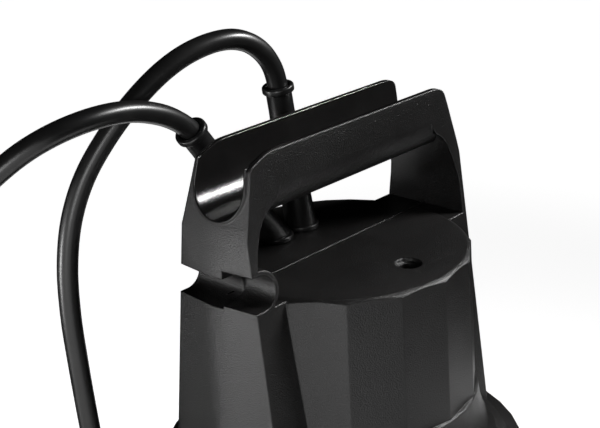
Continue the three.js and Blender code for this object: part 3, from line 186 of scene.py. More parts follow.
def rounded(corners, radius, steps=3, most=0.45):
    # softens the inner corners of an open profile, by no more than a share of the sides that meet there
    result = [Vector(corners[0])]
    for before, corner, after in zip(corners, corners[1:], corners[2:]):
        before, corner, after = Vector(before), Vector(corner), Vector(after)
        reach = min(radius, (before - corner).length * most, (after - corner).length * most)
        start = corner + (before - corner).normalized() * reach
        end = corner + (after - corner).normalized() * reach
        for i in range(steps + 1):
            t = i / steps
            result.append(start.lerp(corner, t).lerp(corner.lerp(end, t), t))
    result.append(Vector(corners[-1]))
    return [tuple(p) for p in result]


def between(p, q, start, end, t):
    return p * ((end - t) / (end - start)) + q * ((t - start) / (end - start))


def smoothRoute(points, perSpan, least=1e-6):
    # centripetal curve through the route's points
    points = [Vector(p) for p in points]
    points = [2 * points[0] - points[1]] + points + [2 * points[-1] - points[-2]]
    result = []
    for i in range(1, len(points) - 2):
        p0, p1, p2, p3 = points[i - 1:i + 3]
        t0 = 0
        t1 = t0 + max((p1 - p0).length, least) ** 0.5
        t2 = t1 + max((p2 - p1).length, least) ** 0.5
        t3 = t2 + max((p3 - p2).length, least) ** 0.5
        for k in range(perSpan):
            t = t1 + (t2 - t1) * k / perSpan
            middle = between(p1, p2, t1, t2, t)
            early = between(between(p0, p1, t0, t1, t), middle, t0, t2, t)
            late = between(middle, between(p2, p3, t2, t3, t), t1, t3, t)
            result.append(between(early, late, t1, t2, t))
    result.append(points[-2])
    return result


def smoothCopy(nodeName, name, sharpAngle, upper=None):
    # a copy of the frame's part with its flats crisp and its curved walls shaded round
    mesh = frame["nodes"][nodeName].data.copy()
    bm = bmesh.new()
    bm.from_mesh(mesh)
    bmesh.ops.remove_doubles(bm, verts=bm.verts, dist=weld["frame"])
    for face in bm.faces:
        face.smooth = True
    for edge in bm.edges:
        limit = sharpAngle
        if upper and min(v.co.z for v in edge.verts) > upper["above"] * mm:
            limit = upper["angle"]
        edge.smooth = len(edge.link_faces) == 2 and edge.calc_face_angle(0) < math.radians(limit)
    bm.to_mesh(mesh)
    bm.free()
    mesh.materials.clear()
    return link(bpy.data.objects.new(name, mesh))


# node trees

def setInputs(made, inputs):
    for key, value in inputs.items():
        made.inputs[key.replace("_", " ")].default_value = value
    return made


def node(tree, kind, **inputs):
    return setInputs(tree.nodes.new(kind), inputs)


def groupNode(tree, group, **inputs):
    made = tree.nodes.new("ShaderNodeGroup")
    made.node_tree = group
    return setInputs(made, inputs)


def wire(tree, source, target):
    tree.links.new(source, target)


def feed(tree, values, targets):
    # each value is a socket to wire or a plain number to set
    for value, target in zip(values, targets):
        if isinstance(value, bpy.types.NodeSocket):
            wire(tree, value, target)
        else:
            target.default_value = value


def calc(tree, operation, *values):
    made = tree.nodes.new("ShaderNodeMath")
    made.operation = operation
    feed(tree, values, made.inputs)
    return made.outputs["Value"]


def blend(tree, share, first, second):
    made = tree.nodes.new("ShaderNodeMix")
    feed(tree, (share, first, second), (made.inputs[0], made.inputs[2], made.inputs[3]))
    return made.outputs[0]


def makeTree(name, treeKind, inputs, outputs):
    tree = bpy.data.node_groups.new(name, treeKind)
    for label, kind, default in inputs:
        socket = tree.interface.new_socket(label, in_out="INPUT", socket_type="NodeSocket" + kind)
        if default is not None:
            socket.default_value = default
    for label, kind in outputs:
        tree.interface.new_socket(label, in_out="OUTPUT", socket_type="NodeSocket" + kind)
    return tree, tree.nodes.new("NodeGroupInput"), tree.nodes.new("NodeGroupOutput")


def geometryTree(name, inputs):
    return makeTree(name, "GeometryNodeTree", [("Geometry", "Geometry", None), *inputs],
                    [("Geometry", "Geometry")])


def closeTree(tree, source, entry, leave):
    realize = tree.nodes.new("GeometryNodeRealizeInstances")
    finish = tree.nodes.new("GeometryNodeSetMaterial")
    wire(tree, source, realize.inputs["Geometry"])
    wire(tree, realize.outputs["Geometry"], finish.inputs["Geometry"])
    wire(tree, entry.outputs["Material"], finish.inputs["Material"])
    wire(tree, finish.outputs["Geometry"], leave.inputs["Geometry"])


def withTree(thing, tree, values):
    modifier = thing.modifiers.new(tree.name, "NODES")
    modifier.node_group = tree
    for item in tree.interface.items_tree:
        if item.item_type == "SOCKET" and item.in_out == "INPUT" and item.name in values:
            modifier[item.identifier] = values[item.name]
    return applied(thing)


def setOutTree():
    # sets out one master piece on every point, each turned about its own axis
    tree, entry, leave = geometryTree("setOut", [
        ("Piece", "Object", None), ("Turn Step", "Float", 0.0), ("Turn Spread", "Float", 0.0),
        ("Seed", "Int", 1), ("Material", "Material", None)])
    piece = tree.nodes.new("GeometryNodeObjectInfo")
    index = tree.nodes.new("GeometryNodeInputIndex")
    loose = tree.nodes.new("FunctionNodeRandomValue")
    rotation = tree.nodes.new("ShaderNodeCombineXYZ")
    place = tree.nodes.new("GeometryNodeInstanceOnPoints")
    wire(tree, entry.outputs["Piece"], piece.inputs["Object"])
    wire(tree, entry.outputs["Turn Spread"], loose.inputs[3])
    wire(tree, entry.outputs["Seed"], loose.inputs["Seed"])
    turn = calc(tree, "MULTIPLY_ADD", index.outputs["Index"], entry.outputs["Turn Step"], loose.outputs[1])
    wire(tree, turn, rotation.inputs["Z"])
    wire(tree, entry.outputs["Geometry"], place.inputs["Points"])
    wire(tree, piece.outputs["Geometry"], place.inputs["Instance"])
    wire(tree, rotation.outputs["Vector"], place.inputs["Rotation"])
    closeTree(tree, place.outputs["Instances"], entry, leave)
    return tree


setOut = setOutTree()


def repeated(name, master, places, material, turnStep=0.0, turnSpread=0.0, seed=1):
    thing = withTree(meshFrom(name, places, []), setOut, {
        "Piece": master, "Turn Step": turnStep, "Turn Spread": turnSpread, "Seed": seed,
        "Material": material})
    bpy.data.objects.remove(master)
    return thing


# finishes

def grainGroup():
    # fine moulded or rubbed texture, with slow changes of gloss over it
    group, entry, leave = makeTree("fineGrain", "ShaderNodeTree", [
        ("Grain Scale", "Float", 2600.0), ("Roughness", "Float", 0.45), ("Gloss Change", "Float", 0.08),
        ("Cloud Scale", "Float", 26.0)], [("Roughness", "Float"), ("Height", "Float"), ("Cloud", "Float")])
    coords = group.nodes.new("ShaderNodeTexCoord")
    grain = node(group, "ShaderNodeTexNoise", Detail=3.0, Roughness=0.6)
    cloud = node(group, "ShaderNodeTexNoise", Detail=4.0, Roughness=0.55)
    for noise, scale in ((grain, "Grain Scale"), (cloud, "Cloud Scale")):
        wire(group, coords.outputs["Object"], noise.inputs["Vector"])
        wire(group, entry.outputs[scale], noise.inputs["Scale"])
    centred = calc(group, "SUBTRACT", cloud.outputs["Fac"], 0.5)
    change = calc(group, "MULTIPLY_ADD", centred, entry.outputs["Gloss Change"], entry.outputs["Roughness"])
    wire(group, change, leave.inputs["Roughness"])
    wire(group, grain.outputs["Fac"], leave.inputs["Height"])
    wire(group, cloud.outputs["Fac"], leave.inputs["Cloud"])
    return group


def shadeGroup():
    # two tones of one colour, moved by a slow cloud and a sprinkle of fine specks
    group, entry, leave = makeTree("toneChange", "ShaderNodeTree", [
        ("Base", "Color", None), ("Second", "Color", None), ("Cloud", "Float", 0.5),
        ("Specks", "Float", 0.1)], [("Color", "Color")])
    coords = group.nodes.new("ShaderNodeTexCoord")
    specks = node(group, "ShaderNodeTexNoise", Detail=2.0, Scale=900.0)
    fine = node(group, "ShaderNodeMapRange", From_Min=0.62, From_Max=0.78)
    slow = node(group, "ShaderNodeMapRange", From_Min=0.35, From_Max=0.7)
    wire(group, coords.outputs["Object"], specks.inputs["Vector"])
    wire(group, specks.outputs["Fac"], fine.inputs["Value"])
    wire(group, entry.outputs["Cloud"], slow.inputs["Value"])
    amount = calc(group, "MULTIPLY", fine.outputs["Result"], entry.outputs["Specks"])
    total = calc(group, "ADD", slow.outputs["Result"], amount)
    total.node.use_clamp = True
    mix = group.nodes.new("ShaderNodeMix")
    mix.data_type = "RGBA"
    wire(group, total, mix.inputs["Factor"])
    wire(group, entry.outputs["Base"], mix.inputs[6])
    wire(group, entry.outputs["Second"], mix.inputs[7])
    wire(group, mix.outputs[2], leave.inputs["Color"])
    return group


def channelGroup():
    # one inside a round-bottomed channel along X, where the mould was polished, and nought elsewhere
    group, entry, leave = makeTree("polishedChannel", "ShaderNodeTree", [
        ("Axis Height", "Float", None), ("Radius", "Float", None)], [("Inside", "Float")])
    coords = group.nodes.new("ShaderNodeTexCoord")
    parts = group.nodes.new("ShaderNodeSeparateXYZ")
    wire(group, coords.outputs["Object"], parts.inputs["Vector"])
    across, level = parts.outputs["Y"], parts.outputs["Z"]
    depth = calc(group, "MINIMUM", calc(group, "SUBTRACT", level, entry.outputs["Axis Height"]), 0.0)
    square = calc(group, "MULTIPLY_ADD", across, across, calc(group, "MULTIPLY", depth, depth))
    inside = calc(group, "LESS_THAN", calc(group, "SQRT", square), entry.outputs["Radius"])
    wire(group, inside, leave.inputs["Inside"])
    return group


fineGrain = grainGroup()
toneChange = shadeGroup()
polishedChannel = channelGroup()


def finish(name, base, second, roughness, glossChange=0.08, grain=2600.0, bump=0.25, distance=0.00006,
           cloud=26.0, specks=0.1, metallic=0.0, coat=0.0, edge=0.0, channel=None):
    # edge rounds the shading of sharp edges, and channel is the polished trough, smoother and calmer inside
    material = bpy.data.materials.new(name)
    material.use_nodes = True
    tree = material.node_tree
    shader = tree.nodes["Principled BSDF"]
    surface = groupNode(tree, fineGrain, Grain_Scale=grain, Roughness=roughness, Gloss_Change=glossChange,
                        Cloud_Scale=cloud)
    tone = groupNode(tree, toneChange, Base=(*base, 1), Second=(*second, 1), Specks=specks)
    lump = node(tree, "ShaderNodeBump", Strength=bump, Distance=distance)
    gloss, height = surface.outputs["Roughness"], surface.outputs["Height"]
    if edge:
        edgeRound = node(tree, "ShaderNodeBevel", Radius=edge)
        edgeRound.samples = 8
        wire(tree, edgeRound.outputs["Normal"], lump.inputs["Normal"])
    if channel:
        polished = groupNode(tree, polishedChannel, Axis_Height=channel["height"], Radius=channel["radius"])
        inside = polished.outputs["Inside"]
        gloss = blend(tree, inside, gloss, channel["roughness"])
        height = calc(tree, "MULTIPLY", height, blend(tree, inside, 1.0, channel["grain"]))
    wire(tree, surface.outputs["Cloud"], tone.inputs["Cloud"])
    wire(tree, height, lump.inputs["Height"])
    wire(tree, tone.outputs["Color"], shader.inputs["Base Color"])
    wire(tree, gloss, shader.inputs["Roughness"])
    wire(tree, lump.outputs["Normal"], shader.inputs["Normal"])
    setInputs(shader, {"Metallic": metallic, "Specular IOR Level": 0.5, "Coat Weight": coat,
                       "Coat Roughness": 0.1})
    return material


finishes = {
    "casing": finish("casing plastic", (0.0085, 0.0082, 0.0082), (0.0145, 0.014, 0.0138), 0.31,
                     grain=1700.0, bump=1.0, distance=0.00027, cloud=30.0, specks=0.4, edge=0.0012,
                     channel={"height": 0.2575, "radius": 0.01435, "roughness": 0.17, "grain": 0.3}),
    "rubber": finish("cable rubber", (0.0085, 0.0085, 0.0087), (0.014, 0.0138, 0.0136), 0.32,
                     glossChange=0.16, grain=1400.0, bump=0.3, cloud=60.0, specks=0.15),
    "steel": finish("zinc plated steel", (0.5, 0.5, 0.48), (0.62, 0.61, 0.57), 0.32, grain=3200.0,
                    bump=0.15, cloud=120.0, metallic=1.0),
    "bright_steel": finish("ground steel", (0.6, 0.6, 0.6), (0.68, 0.68, 0.68), 0.2, grain=5200.0,
                           bump=0.1, cloud=90.0, metallic=1.0),
    "alloy": finish("cast alloy", (0.46, 0.46, 0.47), (0.56, 0.56, 0.57), 0.48, grain=1500.0,
                    bump=0.5, cloud=40.0, metallic=1.0),
    "lamination": finish("stacked sheet steel", (0.19, 0.19, 0.2), (0.29, 0.28, 0.28), 0.42,
                         grain=2600.0, bump=0.3, cloud=70.0, metallic=1.0),
    "winding": finish("varnished copper wire", (0.42, 0.15, 0.055), (0.58, 0.24, 0.09), 0.3,
                      grain=900.0, bump=0.5, cloud=200.0, metallic=1.0, coat=0.5),
    "seal_face": finish("fired ceramic", (0.62, 0.58, 0.5), (0.7, 0.67, 0.6), 0.28, bump=0.1),
    "seal_spring": finish("carbon", (0.03, 0.03, 0.032), (0.05, 0.05, 0.052), 0.38, bump=0.3),
    "impeller_plastic": finish("glass filled plastic", (0.022, 0.022, 0.023), (0.05, 0.05, 0.05), 0.5,
                               grain=1600.0, bump=0.5, specks=0.6),
    "capacitor_case": finish("smooth white plastic", (0.62, 0.62, 0.6), (0.68, 0.68, 0.66), 0.25,
                             bump=0.08),
    "terminal_case": finish("ivory plastic", (0.66, 0.62, 0.5), (0.72, 0.69, 0.58), 0.35, bump=0.15),
    "plug_case": finish("moulded rubber", (0.0095, 0.0095, 0.0097), (0.016, 0.0155, 0.0153), 0.5,
                        grain=1500.0, bump=0.45, specks=0.2),
    "pin_metal": finish("nickel plated brass", (0.62, 0.57, 0.44), (0.7, 0.66, 0.54), 0.22, grain=4200.0,
                        bump=0.1, cloud=140.0, metallic=1.0),
}
print("finishes made:", len(finishes))


def dress(thing, slotName, body, *nodes):
    thing.data.materials.clear()
    thing.data.materials.append(finishes[slotName])
    if nodes:
        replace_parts(thing, *nodes)
    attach(thing, body)
    return thing


# camera, at the photograph's angle

view = {
    "place": (-409.3, -364.7, 432.1), "azimuth": -46.7, "elevation": 20.752, "roll": -2.846,
    "lens": 77.742, "sensor": 36, "clip": (0.01, 30),
}
a, e, r = (math.radians(view[k]) for k in ("azimuth", "elevation", "roll"))
back = Vector((math.sin(a) * math.cos(e), -math.cos(a) * math.cos(e), math.sin(e)))
right = Vector((math.cos(a), math.sin(a), 0))
up = back.cross(right)
camera = link(bpy.data.objects.new("camera", bpy.data.cameras.new("camera")))
camera.data.lens = view["lens"]
camera.data.sensor_width = view["sensor"]
camera.data.clip_start, camera.data.clip_end = view["clip"]
across = right * math.cos(r) + up * math.sin(r)
upright = up * math.cos(r) - right * math.sin(r)
camera.matrix_world = Matrix.Translation(Vector(view["place"]) * mm) @ Matrix(
    (across, upright, back)).transposed().to_4x4()
scene.camera = camera

# the cables' routes, from inside the casing: out through the bend sleeves, down to the coil and to the float

cable = {"radius": 4.6, "sides": 16, "inside": 198.3, "baseHeight": 211.2}
powerFoot = {"x": -12.5, "y": 27, "tip": (-58.8, 27, 274), "flangeX": -11.4, "flangeRadius": 8.8}
floatFoot = {"x": 6.5, "y": 27, "tip": (-4.2, 27, 281), "flangeX": 6.9, "flangeRadius": 8.3}
coil = {
    "x": -171, "y": 30, "outer": 90.75, "pitch": 9.9, "turns": 5, "layers": 2, "steps": 24, "low": 4.8,
    "climb": 0.25,
}
coilX = coil["x"] - coil["outer"]


def sleeveRoute(foot):
    base, tip = Vector((foot["x"], foot["y"], cable["baseHeight"])), Vector(foot["tip"])
    lean = (tip - base).normalized()
    start = base + lean * ((cable["inside"] - base.z) / lean.z)
    return [start, base, base.lerp(tip, 1 / 3), base.lerp(tip, 2 / 3), tip]


def coilRoute():
    # layers wound inward and outward in turn, with a climb of a quarter turn each way between two of them
    span = coil["turns"] * coil["pitch"]
    count = coil["turns"] * coil["layers"] * coil["steps"]
    points = []
    for i in range(count + 1):
        turn = i / coil["steps"]
        layer = min(int(turn // coil["turns"]), coil["layers"] - 1)
        along = turn / coil["turns"] - layer
        radius = coil["outer"] - span * (along if layer % 2 == 0 else 1 - along)
        nearest = round(turn / coil["turns"])
        offset = turn - nearest * coil["turns"]
        level = layer
        if 0 < nearest < coil["layers"] and abs(offset) < coil["climb"]:
            level = nearest - 0.5 + 0.5 * math.sin(2 * math.pi * offset)
        turned = math.pi + 2 * math.pi * turn
        points.append(Vector((coil["x"] + radius * math.cos(turned), coil["y"] + radius * math.sin(turned),
                              coil["low"] + coil["pitch"] * level)))
    return points


powerRoute = sleeveRoute(powerFoot) + [
    (-69, 27, 281.8), (-79.5, 27, 286.6), (-89.8, 27, 289.6), (-101, 27, 291.1), (-114, 28, 290.9),
    (-126.5, 31.3, 288.2), (-137, 36.6, 283), (-147.3, 43.5, 274.5), (-158.5, 51.5, 262.5),
    (-171, 60.5, 246.5), (-184, 69.5, 227.5), (-197.5, 79, 203.5), (-210.5, 88, 178), (-223, 96, 152.5),
    (-234.5, 103, 127.5), (-245, 108.5, 103.5), (-253.5, 112, 81.5), (-259.3, 113.2, 61),
    (coilX, 112.4, 39.5), (coilX, 107.4, 25.8), (coilX, 98, 14.6), (coilX, 85.4, 7.3), (coilX, 71, 4.8),
    (coilX, 55, 4.8), (coilX, 39.5, 4.8),
]
tailRoute = [
    (coilX, 20.5, 14.7), (-261, 8, 15.2), (-256.5, -6, 17.5), (-247.5, -20, 22), (-235, -32, 28),
    (-222, -39.5, 33.6), (-210, -42, 37.1), (-200, -42, 37.5),
]
floatRoute = sleeveRoute(floatFoot) + [
    (-6.8, 27.1, 289.6), (-11.8, 27.5, 297.1), (-18.8, 28.4, 302.8), (-27.2, 29.4, 306.1),
    (-36.2, 30.6, 306.9), (-45.5, 32.2, 305.8), (-54.6, 34.3, 303), (-64.5, 37.2, 297.6),
    (-75.7, 41.2, 288.4), (-86.9, 46.8, 275), (-97.2, 52, 258.5), (-104, 55, 241), (-107.8, 56.4, 221),
    (-109.2, 56.3, 199), (-109, 55.4, 177), (-108.6, 54, 155), (-108.2, 52.2, 133), (-108.1, 50.2, 112),
    (-108.3, 48, 92), (-110.8, 46, 72.5), (-117.5, 44.4, 57.3), (-128.5, 43.4, 47.2), (-141, 43, 42.6),
    (-152, 43, 41.5), (-160, 43, 41.5), (-174, 43, 41.5),
]


def sheathTree():
    tree, entry, leave = geometryTree("cableSheath", [
        ("Radius", "Float", 0.0046), ("Sides", "Int", 16), ("Material", "Material", None)])
    section = tree.nodes.new("GeometryNodeCurvePrimitiveCircle")
    tube = tree.nodes.new("GeometryNodeCurveToMesh")
    tube.inputs["Fill Caps"].default_value = True
    wire(tree, entry.outputs["Sides"], section.inputs["Resolution"])
    wire(tree, entry.outputs["Radius"], section.inputs["Radius"])
    wire(tree, entry.outputs["Geometry"], tube.inputs["Curve"])
    wire(tree, section.outputs["Curve"], tube.inputs["Profile Curve"])
    closeTree(tree, tube.outputs["Mesh"], entry, leave)
    return tree


cableSheath = sheathTree()


def cablePiece(name, route):
    curve = bpy.data.curves.new(name, "CURVE")
    curve.dimensions = "3D"
    spline = curve.splines.new("POLY")
    spline.points.add(len(route) - 1)
    for point, place in zip(spline.points, route):
        point.co = (*(place * mm), 1)
    thing = withTree(link(bpy.data.objects.new(name, curve)), cableSheath, {
        "Radius": cable["radius"] * mm, "Sides": cable["sides"], "Material": finishes["rubber"]})
    thing.data.shade_smooth()
    return thing


powerLine = smoothRoute([*powerRoute, *coilRoute(), *tailRoute], 4)
floatLine = smoothRoute(floatRoute, 6)
powerCable = dress(cablePiece("power_cable", powerLine), "rubber", "pump",
                   "power_cable_run", "power_cable_coil", "power_cable_tail")
floatCable = dress(cablePiece("float_cable", floatLine), "rubber", "pump", "float_cable_run")


def lineLength(line):
    return sum((q - p).length for p, q in zip(line, line[1:])) * mm


print("cables made, metres:", round(lineLength(powerLine), 3), round(lineLength(floatLine), 3))

# bend sleeves, which lean with the cables

sleeve = {
    "steps": 44, "bore": 5.1, "foot": 7.3, "sunk": -5, "straight": 8, "swell": 0.5, "swellShare": 0.6,
    "tip": 5.9, "mouth": 9, "collar": 7.3, "collarLength": 3.4, "collarSlope": 0.3, "corner": 1.1,
    "flange": {"base": 209.28, "height": 2.4, "dome": 0.3, "shoulder": 7.2, "inside": 0.4, "corner": 0.8},
}


def bendSleeve(name, foot, replaced):
    base, tip = Vector((foot["x"], foot["y"], cable["baseHeight"])), Vector(foot["tip"])
    length = (tip - base).length
    edge = length - sleeve["collarLength"]
    outside = rounded([
        (sleeve["foot"], sleeve["sunk"]), (sleeve["foot"], sleeve["straight"]),
        (sleeve["tip"] + sleeve["swell"], length * sleeve["swellShare"]),
        (sleeve["tip"], edge - sleeve["mouth"]), (sleeve["tip"], edge),
        (sleeve["collar"], edge + sleeve["collarSlope"]), (sleeve["collar"], length),
        (sleeve["bore"], length), (sleeve["bore"], length - sleeve["mouth"]),
    ], sleeve["corner"], 4)
    body = spun(name + "_body", outside + [(sleeve["bore"], sleeve["sunk"])], sleeve["steps"], base,
                tip - base, closedRing=True)
    rim, low = sleeve["flange"], sleeve["flange"]["base"]
    top = low + rim["height"]
    flange = spun(name + "_flange", rounded([
        (rim["inside"], low), (foot["flangeRadius"], low), (foot["flangeRadius"], top),
        (rim["shoulder"], top + rim["dome"]), (rim["inside"], top + rim["dome"])], rim["corner"]),
        sleeve["steps"], (foot["flangeX"], foot["y"], 0))
    dress(finishSurface(joined(name, body, flange)), "rubber", "pump", replaced)


bendSleeve("power_sleeve", powerFoot, "power_cable_sleeve")
bendSleeve("float_sleeve", floatFoot, "float_cable_sleeve")
print("bend sleeves made")

# upper casing, the frame's own shape, shaded rounder from the handle's legs up

casing = {"angle": 14, "upper": {"above": 209.5, "angle": 32}}
upperCasing = dress(smoothCopy("upper_casing", "upper_casing_shell", casing["angle"], casing["upper"]),
                    "casing", "pump", "upper_casing")
print("upper casing made:", len(upperCasing.data.polygons), "faces")

# the fine line that the mould left along the crown's ridge, under the handle

seam = {"ends": (-69.5, 67.0), "z": 209.05, "half": 0.45, "high": 0.35, "steps": 8, "angle": 50}
seamPoints = []
for x in seam["ends"]:
    for i in range(seam["steps"] + 1):
        turn = math.pi * i / seam["steps"]
        seamPoints.append((x, seam["half"] * math.cos(turn), seam["z"] + seam["high"] * math.sin(turn)))
seamLine = meshFrom("crown_mould_line", *gridFaces(seamPoints, seam["steps"] + 1))
dress(finishSurface(seamLine, seam["angle"]), "casing", "pump")

# screws

screwForm = {
    "steps": 36, "pitch": 0.5, "threadDepth": 0.35, "lead": 0.6, "tip": (0.5, 0.8), "plain": 0.9,
    "unthreaded": 3, "seatEdge": 0.3, "dome": [(1, 0.62), (0.93, 0.86), (0.8, 0.97), (0.66, 1)],
    "lip": 0.16, "taper": 0.9,
}


def hexSocket(radius):
    half = math.pi / 6
    return lambda a: radius * math.cos(half) / math.cos((a + half) % (2 * half) - half)


def crossSocket(core, arm, narrow=6):
    return lambda a: core + arm * abs(math.cos(2 * a)) ** narrow


def screwMaster(name, size):
    # the head's seat is at zero, its shank runs down
    head, high, shank, length = (size[k] for k in ("head", "high", "shank", "length"))
    socket, depth = size["socket"], size["socketDepth"]
    pitch, lead, seatEdge, lip = (screwForm[k] for k in ("pitch", "lead", "seatEdge", "lip"))
    rows = [(shank * share, lead * i - length) for i, share in enumerate(screwForm["tip"])]
    for i in range(int((length - screwForm["unthreaded"]) / pitch)):
        rows.append((shank - (screwForm["threadDepth"] if i % 2 else 0), 2 * lead - length + pitch * i))
    rows += [(shank, -screwForm["plain"]), (shank, 0), (head - seatEdge, 0), (head, seatEdge)]
    rows += [(head * wide, high * up) for wide, up in screwForm["dome"]]
    rows += [(lambda a: socket(a) + lip, high), (socket, high - lip),
             (lambda a: socket(a) * screwForm["taper"], high - depth)]
    return spun(name, rows, screwForm["steps"])


screws = {
    "top": {"head": 4.0, "high": 4.5, "shank": 3.0, "length": 13.3, "socket": hexSocket(2.1),
            "socketDepth": 2.0, "down": True, "places": [(2.5, -40.4, 185.8), (-2.5, 40.4, 185.8)],
            "nodes": ("top_screw_near", "top_screw_far")},
    "flange": {"head": 4.0, "high": 3.6, "shank": 2.5, "length": 11.6, "socket": crossSocket(0.8, 1.5),
               "socketDepth": 1.9, "down": False,
               "places": [(57.7 * sx, 57.7 * sy, 93.7) for sx, sy in ((1, 1), (-1, 1), (-1, -1), (1, -1))],
               "nodes": ("flange_screw_1", "flange_screw_2", "flange_screw_3", "flange_screw_4")},
    "strainer": {"head": 4.0, "high": 3.0, "shank": 2.2, "length": 43.6, "socket": crossSocket(0.8, 1.4),
                 "socketDepth": 1.7, "down": False,
                 "places": [(67.65 * math.cos(t), 67.65 * math.sin(t), 3.7)
                            for t in (0, 2 * math.pi / 3, 4 * math.pi / 3)],
                 "nodes": ("strainer_screw_1", "strainer_screw_2", "strainer_screw_3")},
}
for kind, size in screws.items():
    master = screwMaster(kind + "_screw_master", size)
    if not size["down"]:
        moved(master, (1, 0, 0), (0, -1, 0), (0, 0, -1), (0, 0, 0))
    dress(finishSurface(repeated(kind + "_screws", master, size["places"], finishes["steel"],
                                 turnSpread=2.4, seed=3)), "steel", "pump", *size["nodes"])
print("screws made")

# outlet fittings, which point to -X at the outlet's height

outlet = {
    "height": 62.3, "bore": 12.0, "rim": 18.2, "split": (15, 14.9), "gasket": (102.3, 104.3), "start": 104.6,
    "flangeEnd": 107.6, "pipe": 14.5, "end": 153.6, "endEdge": 1,
    "barbs": {"count": 4, "high": 1.6, "pitch": 8.0, "foot": 0.75, "crest": 0.7},
    "nut": {"start": 89.4, "end": 111.4, "radius": 24.5, "inside": 19.3, "lip": 107.9, "split": (21, 20.9),
            "collar": 0.5, "collarLength": 3.2, "collarEnd": 4.2, "step": 1.3, "chamfer": 2.4, "play": 0.3},
    "rib": {"count": 24, "halfWidth": 1.35, "high": 1.5, "slope": 1.2, "root": 0.4, "lip": 0.15, "drop": 0.5,
            "shoulder": 0.75, "flat": 0.3, "margins": (4.6, 2.0), "sunk": 0.2},
}


def alongOutlet(thing):
    return moved(thing, (0, 0, 1), (0, 1, 0), (-1, 0, 0), (0, 0, outlet["height"]))


def ringPiece(name, profile, radius, steps=64, place=alongOutlet):
    # a ring turned from a closed profile that starts and ends on its first face
    return place(spun(name, rounded(profile, radius) + [profile[-1]], steps, closedRing=True))


rim, bore, pipe, split = (outlet[k] for k in ("rim", "bore", "pipe", "split"))
low, top = outlet["gasket"]
gasket = ringPiece("outlet_seal_ring", [
    (split[0], low), (rim, low), (rim, top), (bore, top), (bore, low), (split[1], low)], radius=0.5)
dress(gasket, "rubber", "pump", "outlet_gasket")

barb, barbs = outlet["barbs"], []
for i in range(barb["count"]):
    tip = outlet["end"] - outlet["endEdge"] - (barb["count"] - 1 - i) * barb["pitch"]
    barbs += [(pipe, tip - barb["foot"] * barb["pitch"]),
              (pipe + barb["high"], tip - barb["crest"] * barb["pitch"]), (pipe, tip)]
low, top = outlet["start"], outlet["end"]
connector = ringPiece("hose_tail", [
    (split[0], low), (rim, low), (rim, outlet["flangeEnd"]), (pipe, outlet["flangeEnd"]), *barbs,
    (pipe - outlet["endEdge"], top), (bore, top), (bore, low), (split[1], low)], radius=0.35)
dress(connector, "casing", "pump", "hose_connector")

nut, rib = outlet["nut"], outlet["rib"]
low, top, split = nut["start"], nut["end"], nut["split"]
root, collar, inner = nut["radius"] - nut["step"], nut["radius"] - nut["collar"], pipe + nut["play"]
nutBody = ringPiece("union_nut_ring", [
    (split[0], low), (collar, low), (collar, low + nut["collarLength"]), (root, low + nut["collarEnd"]),
    (root, top - nut["chamfer"]), (root - nut["chamfer"], top), (inner, top), (inner, nut["lip"]),
    (nut["inside"], nut["lip"]), (nut["inside"], low), (split[1], low)], radius=0.5,
    place=lambda thing: thing)
ribMaster = meshFrom("grip_rib_master", *gripRib(
    rib, low + rib["margins"][0], top - rib["margins"][1], root - rib["sunk"]))
ribs = repeated("union_nut_ribs", ribMaster, [(0, 0, 0)] * rib["count"], finishes["casing"],
                turnStep=2 * math.pi / rib["count"])
unionNut = alongOutlet(joined("union_nut", nutBody, ribs))
dress(finishSurface(unionNut), "casing", "pump", "outlet_union_nut")
print("outlet fittings made")

# plug, which lies on the coil and points along +X

plug = {
    "place": (-199.7, -42.0, 37.5), "radius": 18.0, "steps": 72,
    "dent": {"depth": 2.6, "start": 40, "length": 30, "swell": 0.8, "focus": 3},
    "neck": {"rings": 6, "start": 1.6, "pitch": 4.1, "radius": 6.5, "growth": 0.15, "groove": 1.3,
             "rows": ((0, 0), (0, 2.2), (1, 2.6), (1, 3.8))},
    "cableEnd": [(5.2, 0), (6.2, 0.6)],
    "shoulder": [(7.4, 26.4), (8.2, 29), (9.6, 32), (12.2, 35.2), (15, 38.2), (16.9, 41), (17.8, 43.6)],
    "body": (45, 47, 49, 51, 53, 55, 57, 59, 61, 63, 65, 67, 69, 71),
    "face": [(17.9, 72), (17.4, 73.2), (16.3, 74), (14.6, 74), (14.2, 73.5), (0.5, 73.5)],
    "ridge": {"radius": 0.7, "half": 7.0, "least": 0.35, "swell": 0.75, "wide": 1.3, "rows": 9, "sides": 8,
              "out": 15.2, "heights": (48, 51.5, 55, 58.5, 62)},
    "pin": {"radius": 2.4, "gap": 19.0, "start": 66.3, "end": 93.0, "root": 1.2, "rootSlope": 0.4,
            "steps": 32, "nose": [(1, 2.4), (0.93, 1.2), (0.7, 0.35), (0.3, 0)]},
}


def plugWidth(z):
    # finger grips pressed into both sides, deepest half way along the body
    dent = plug["dent"]
    along = min(max((z - dent["start"]) / dent["length"], 0), 1)
    depth = dent["depth"] * max(0.0, math.sin(math.pi * along)) ** dent["swell"]
    return lambda a: plug["radius"] - depth * abs(math.cos(a)) ** dent["focus"]


def alongPlug(thing):
    return moved(thing, (0, 1, 0), (0, 0, 1), (1, 0, 0), plug["place"])


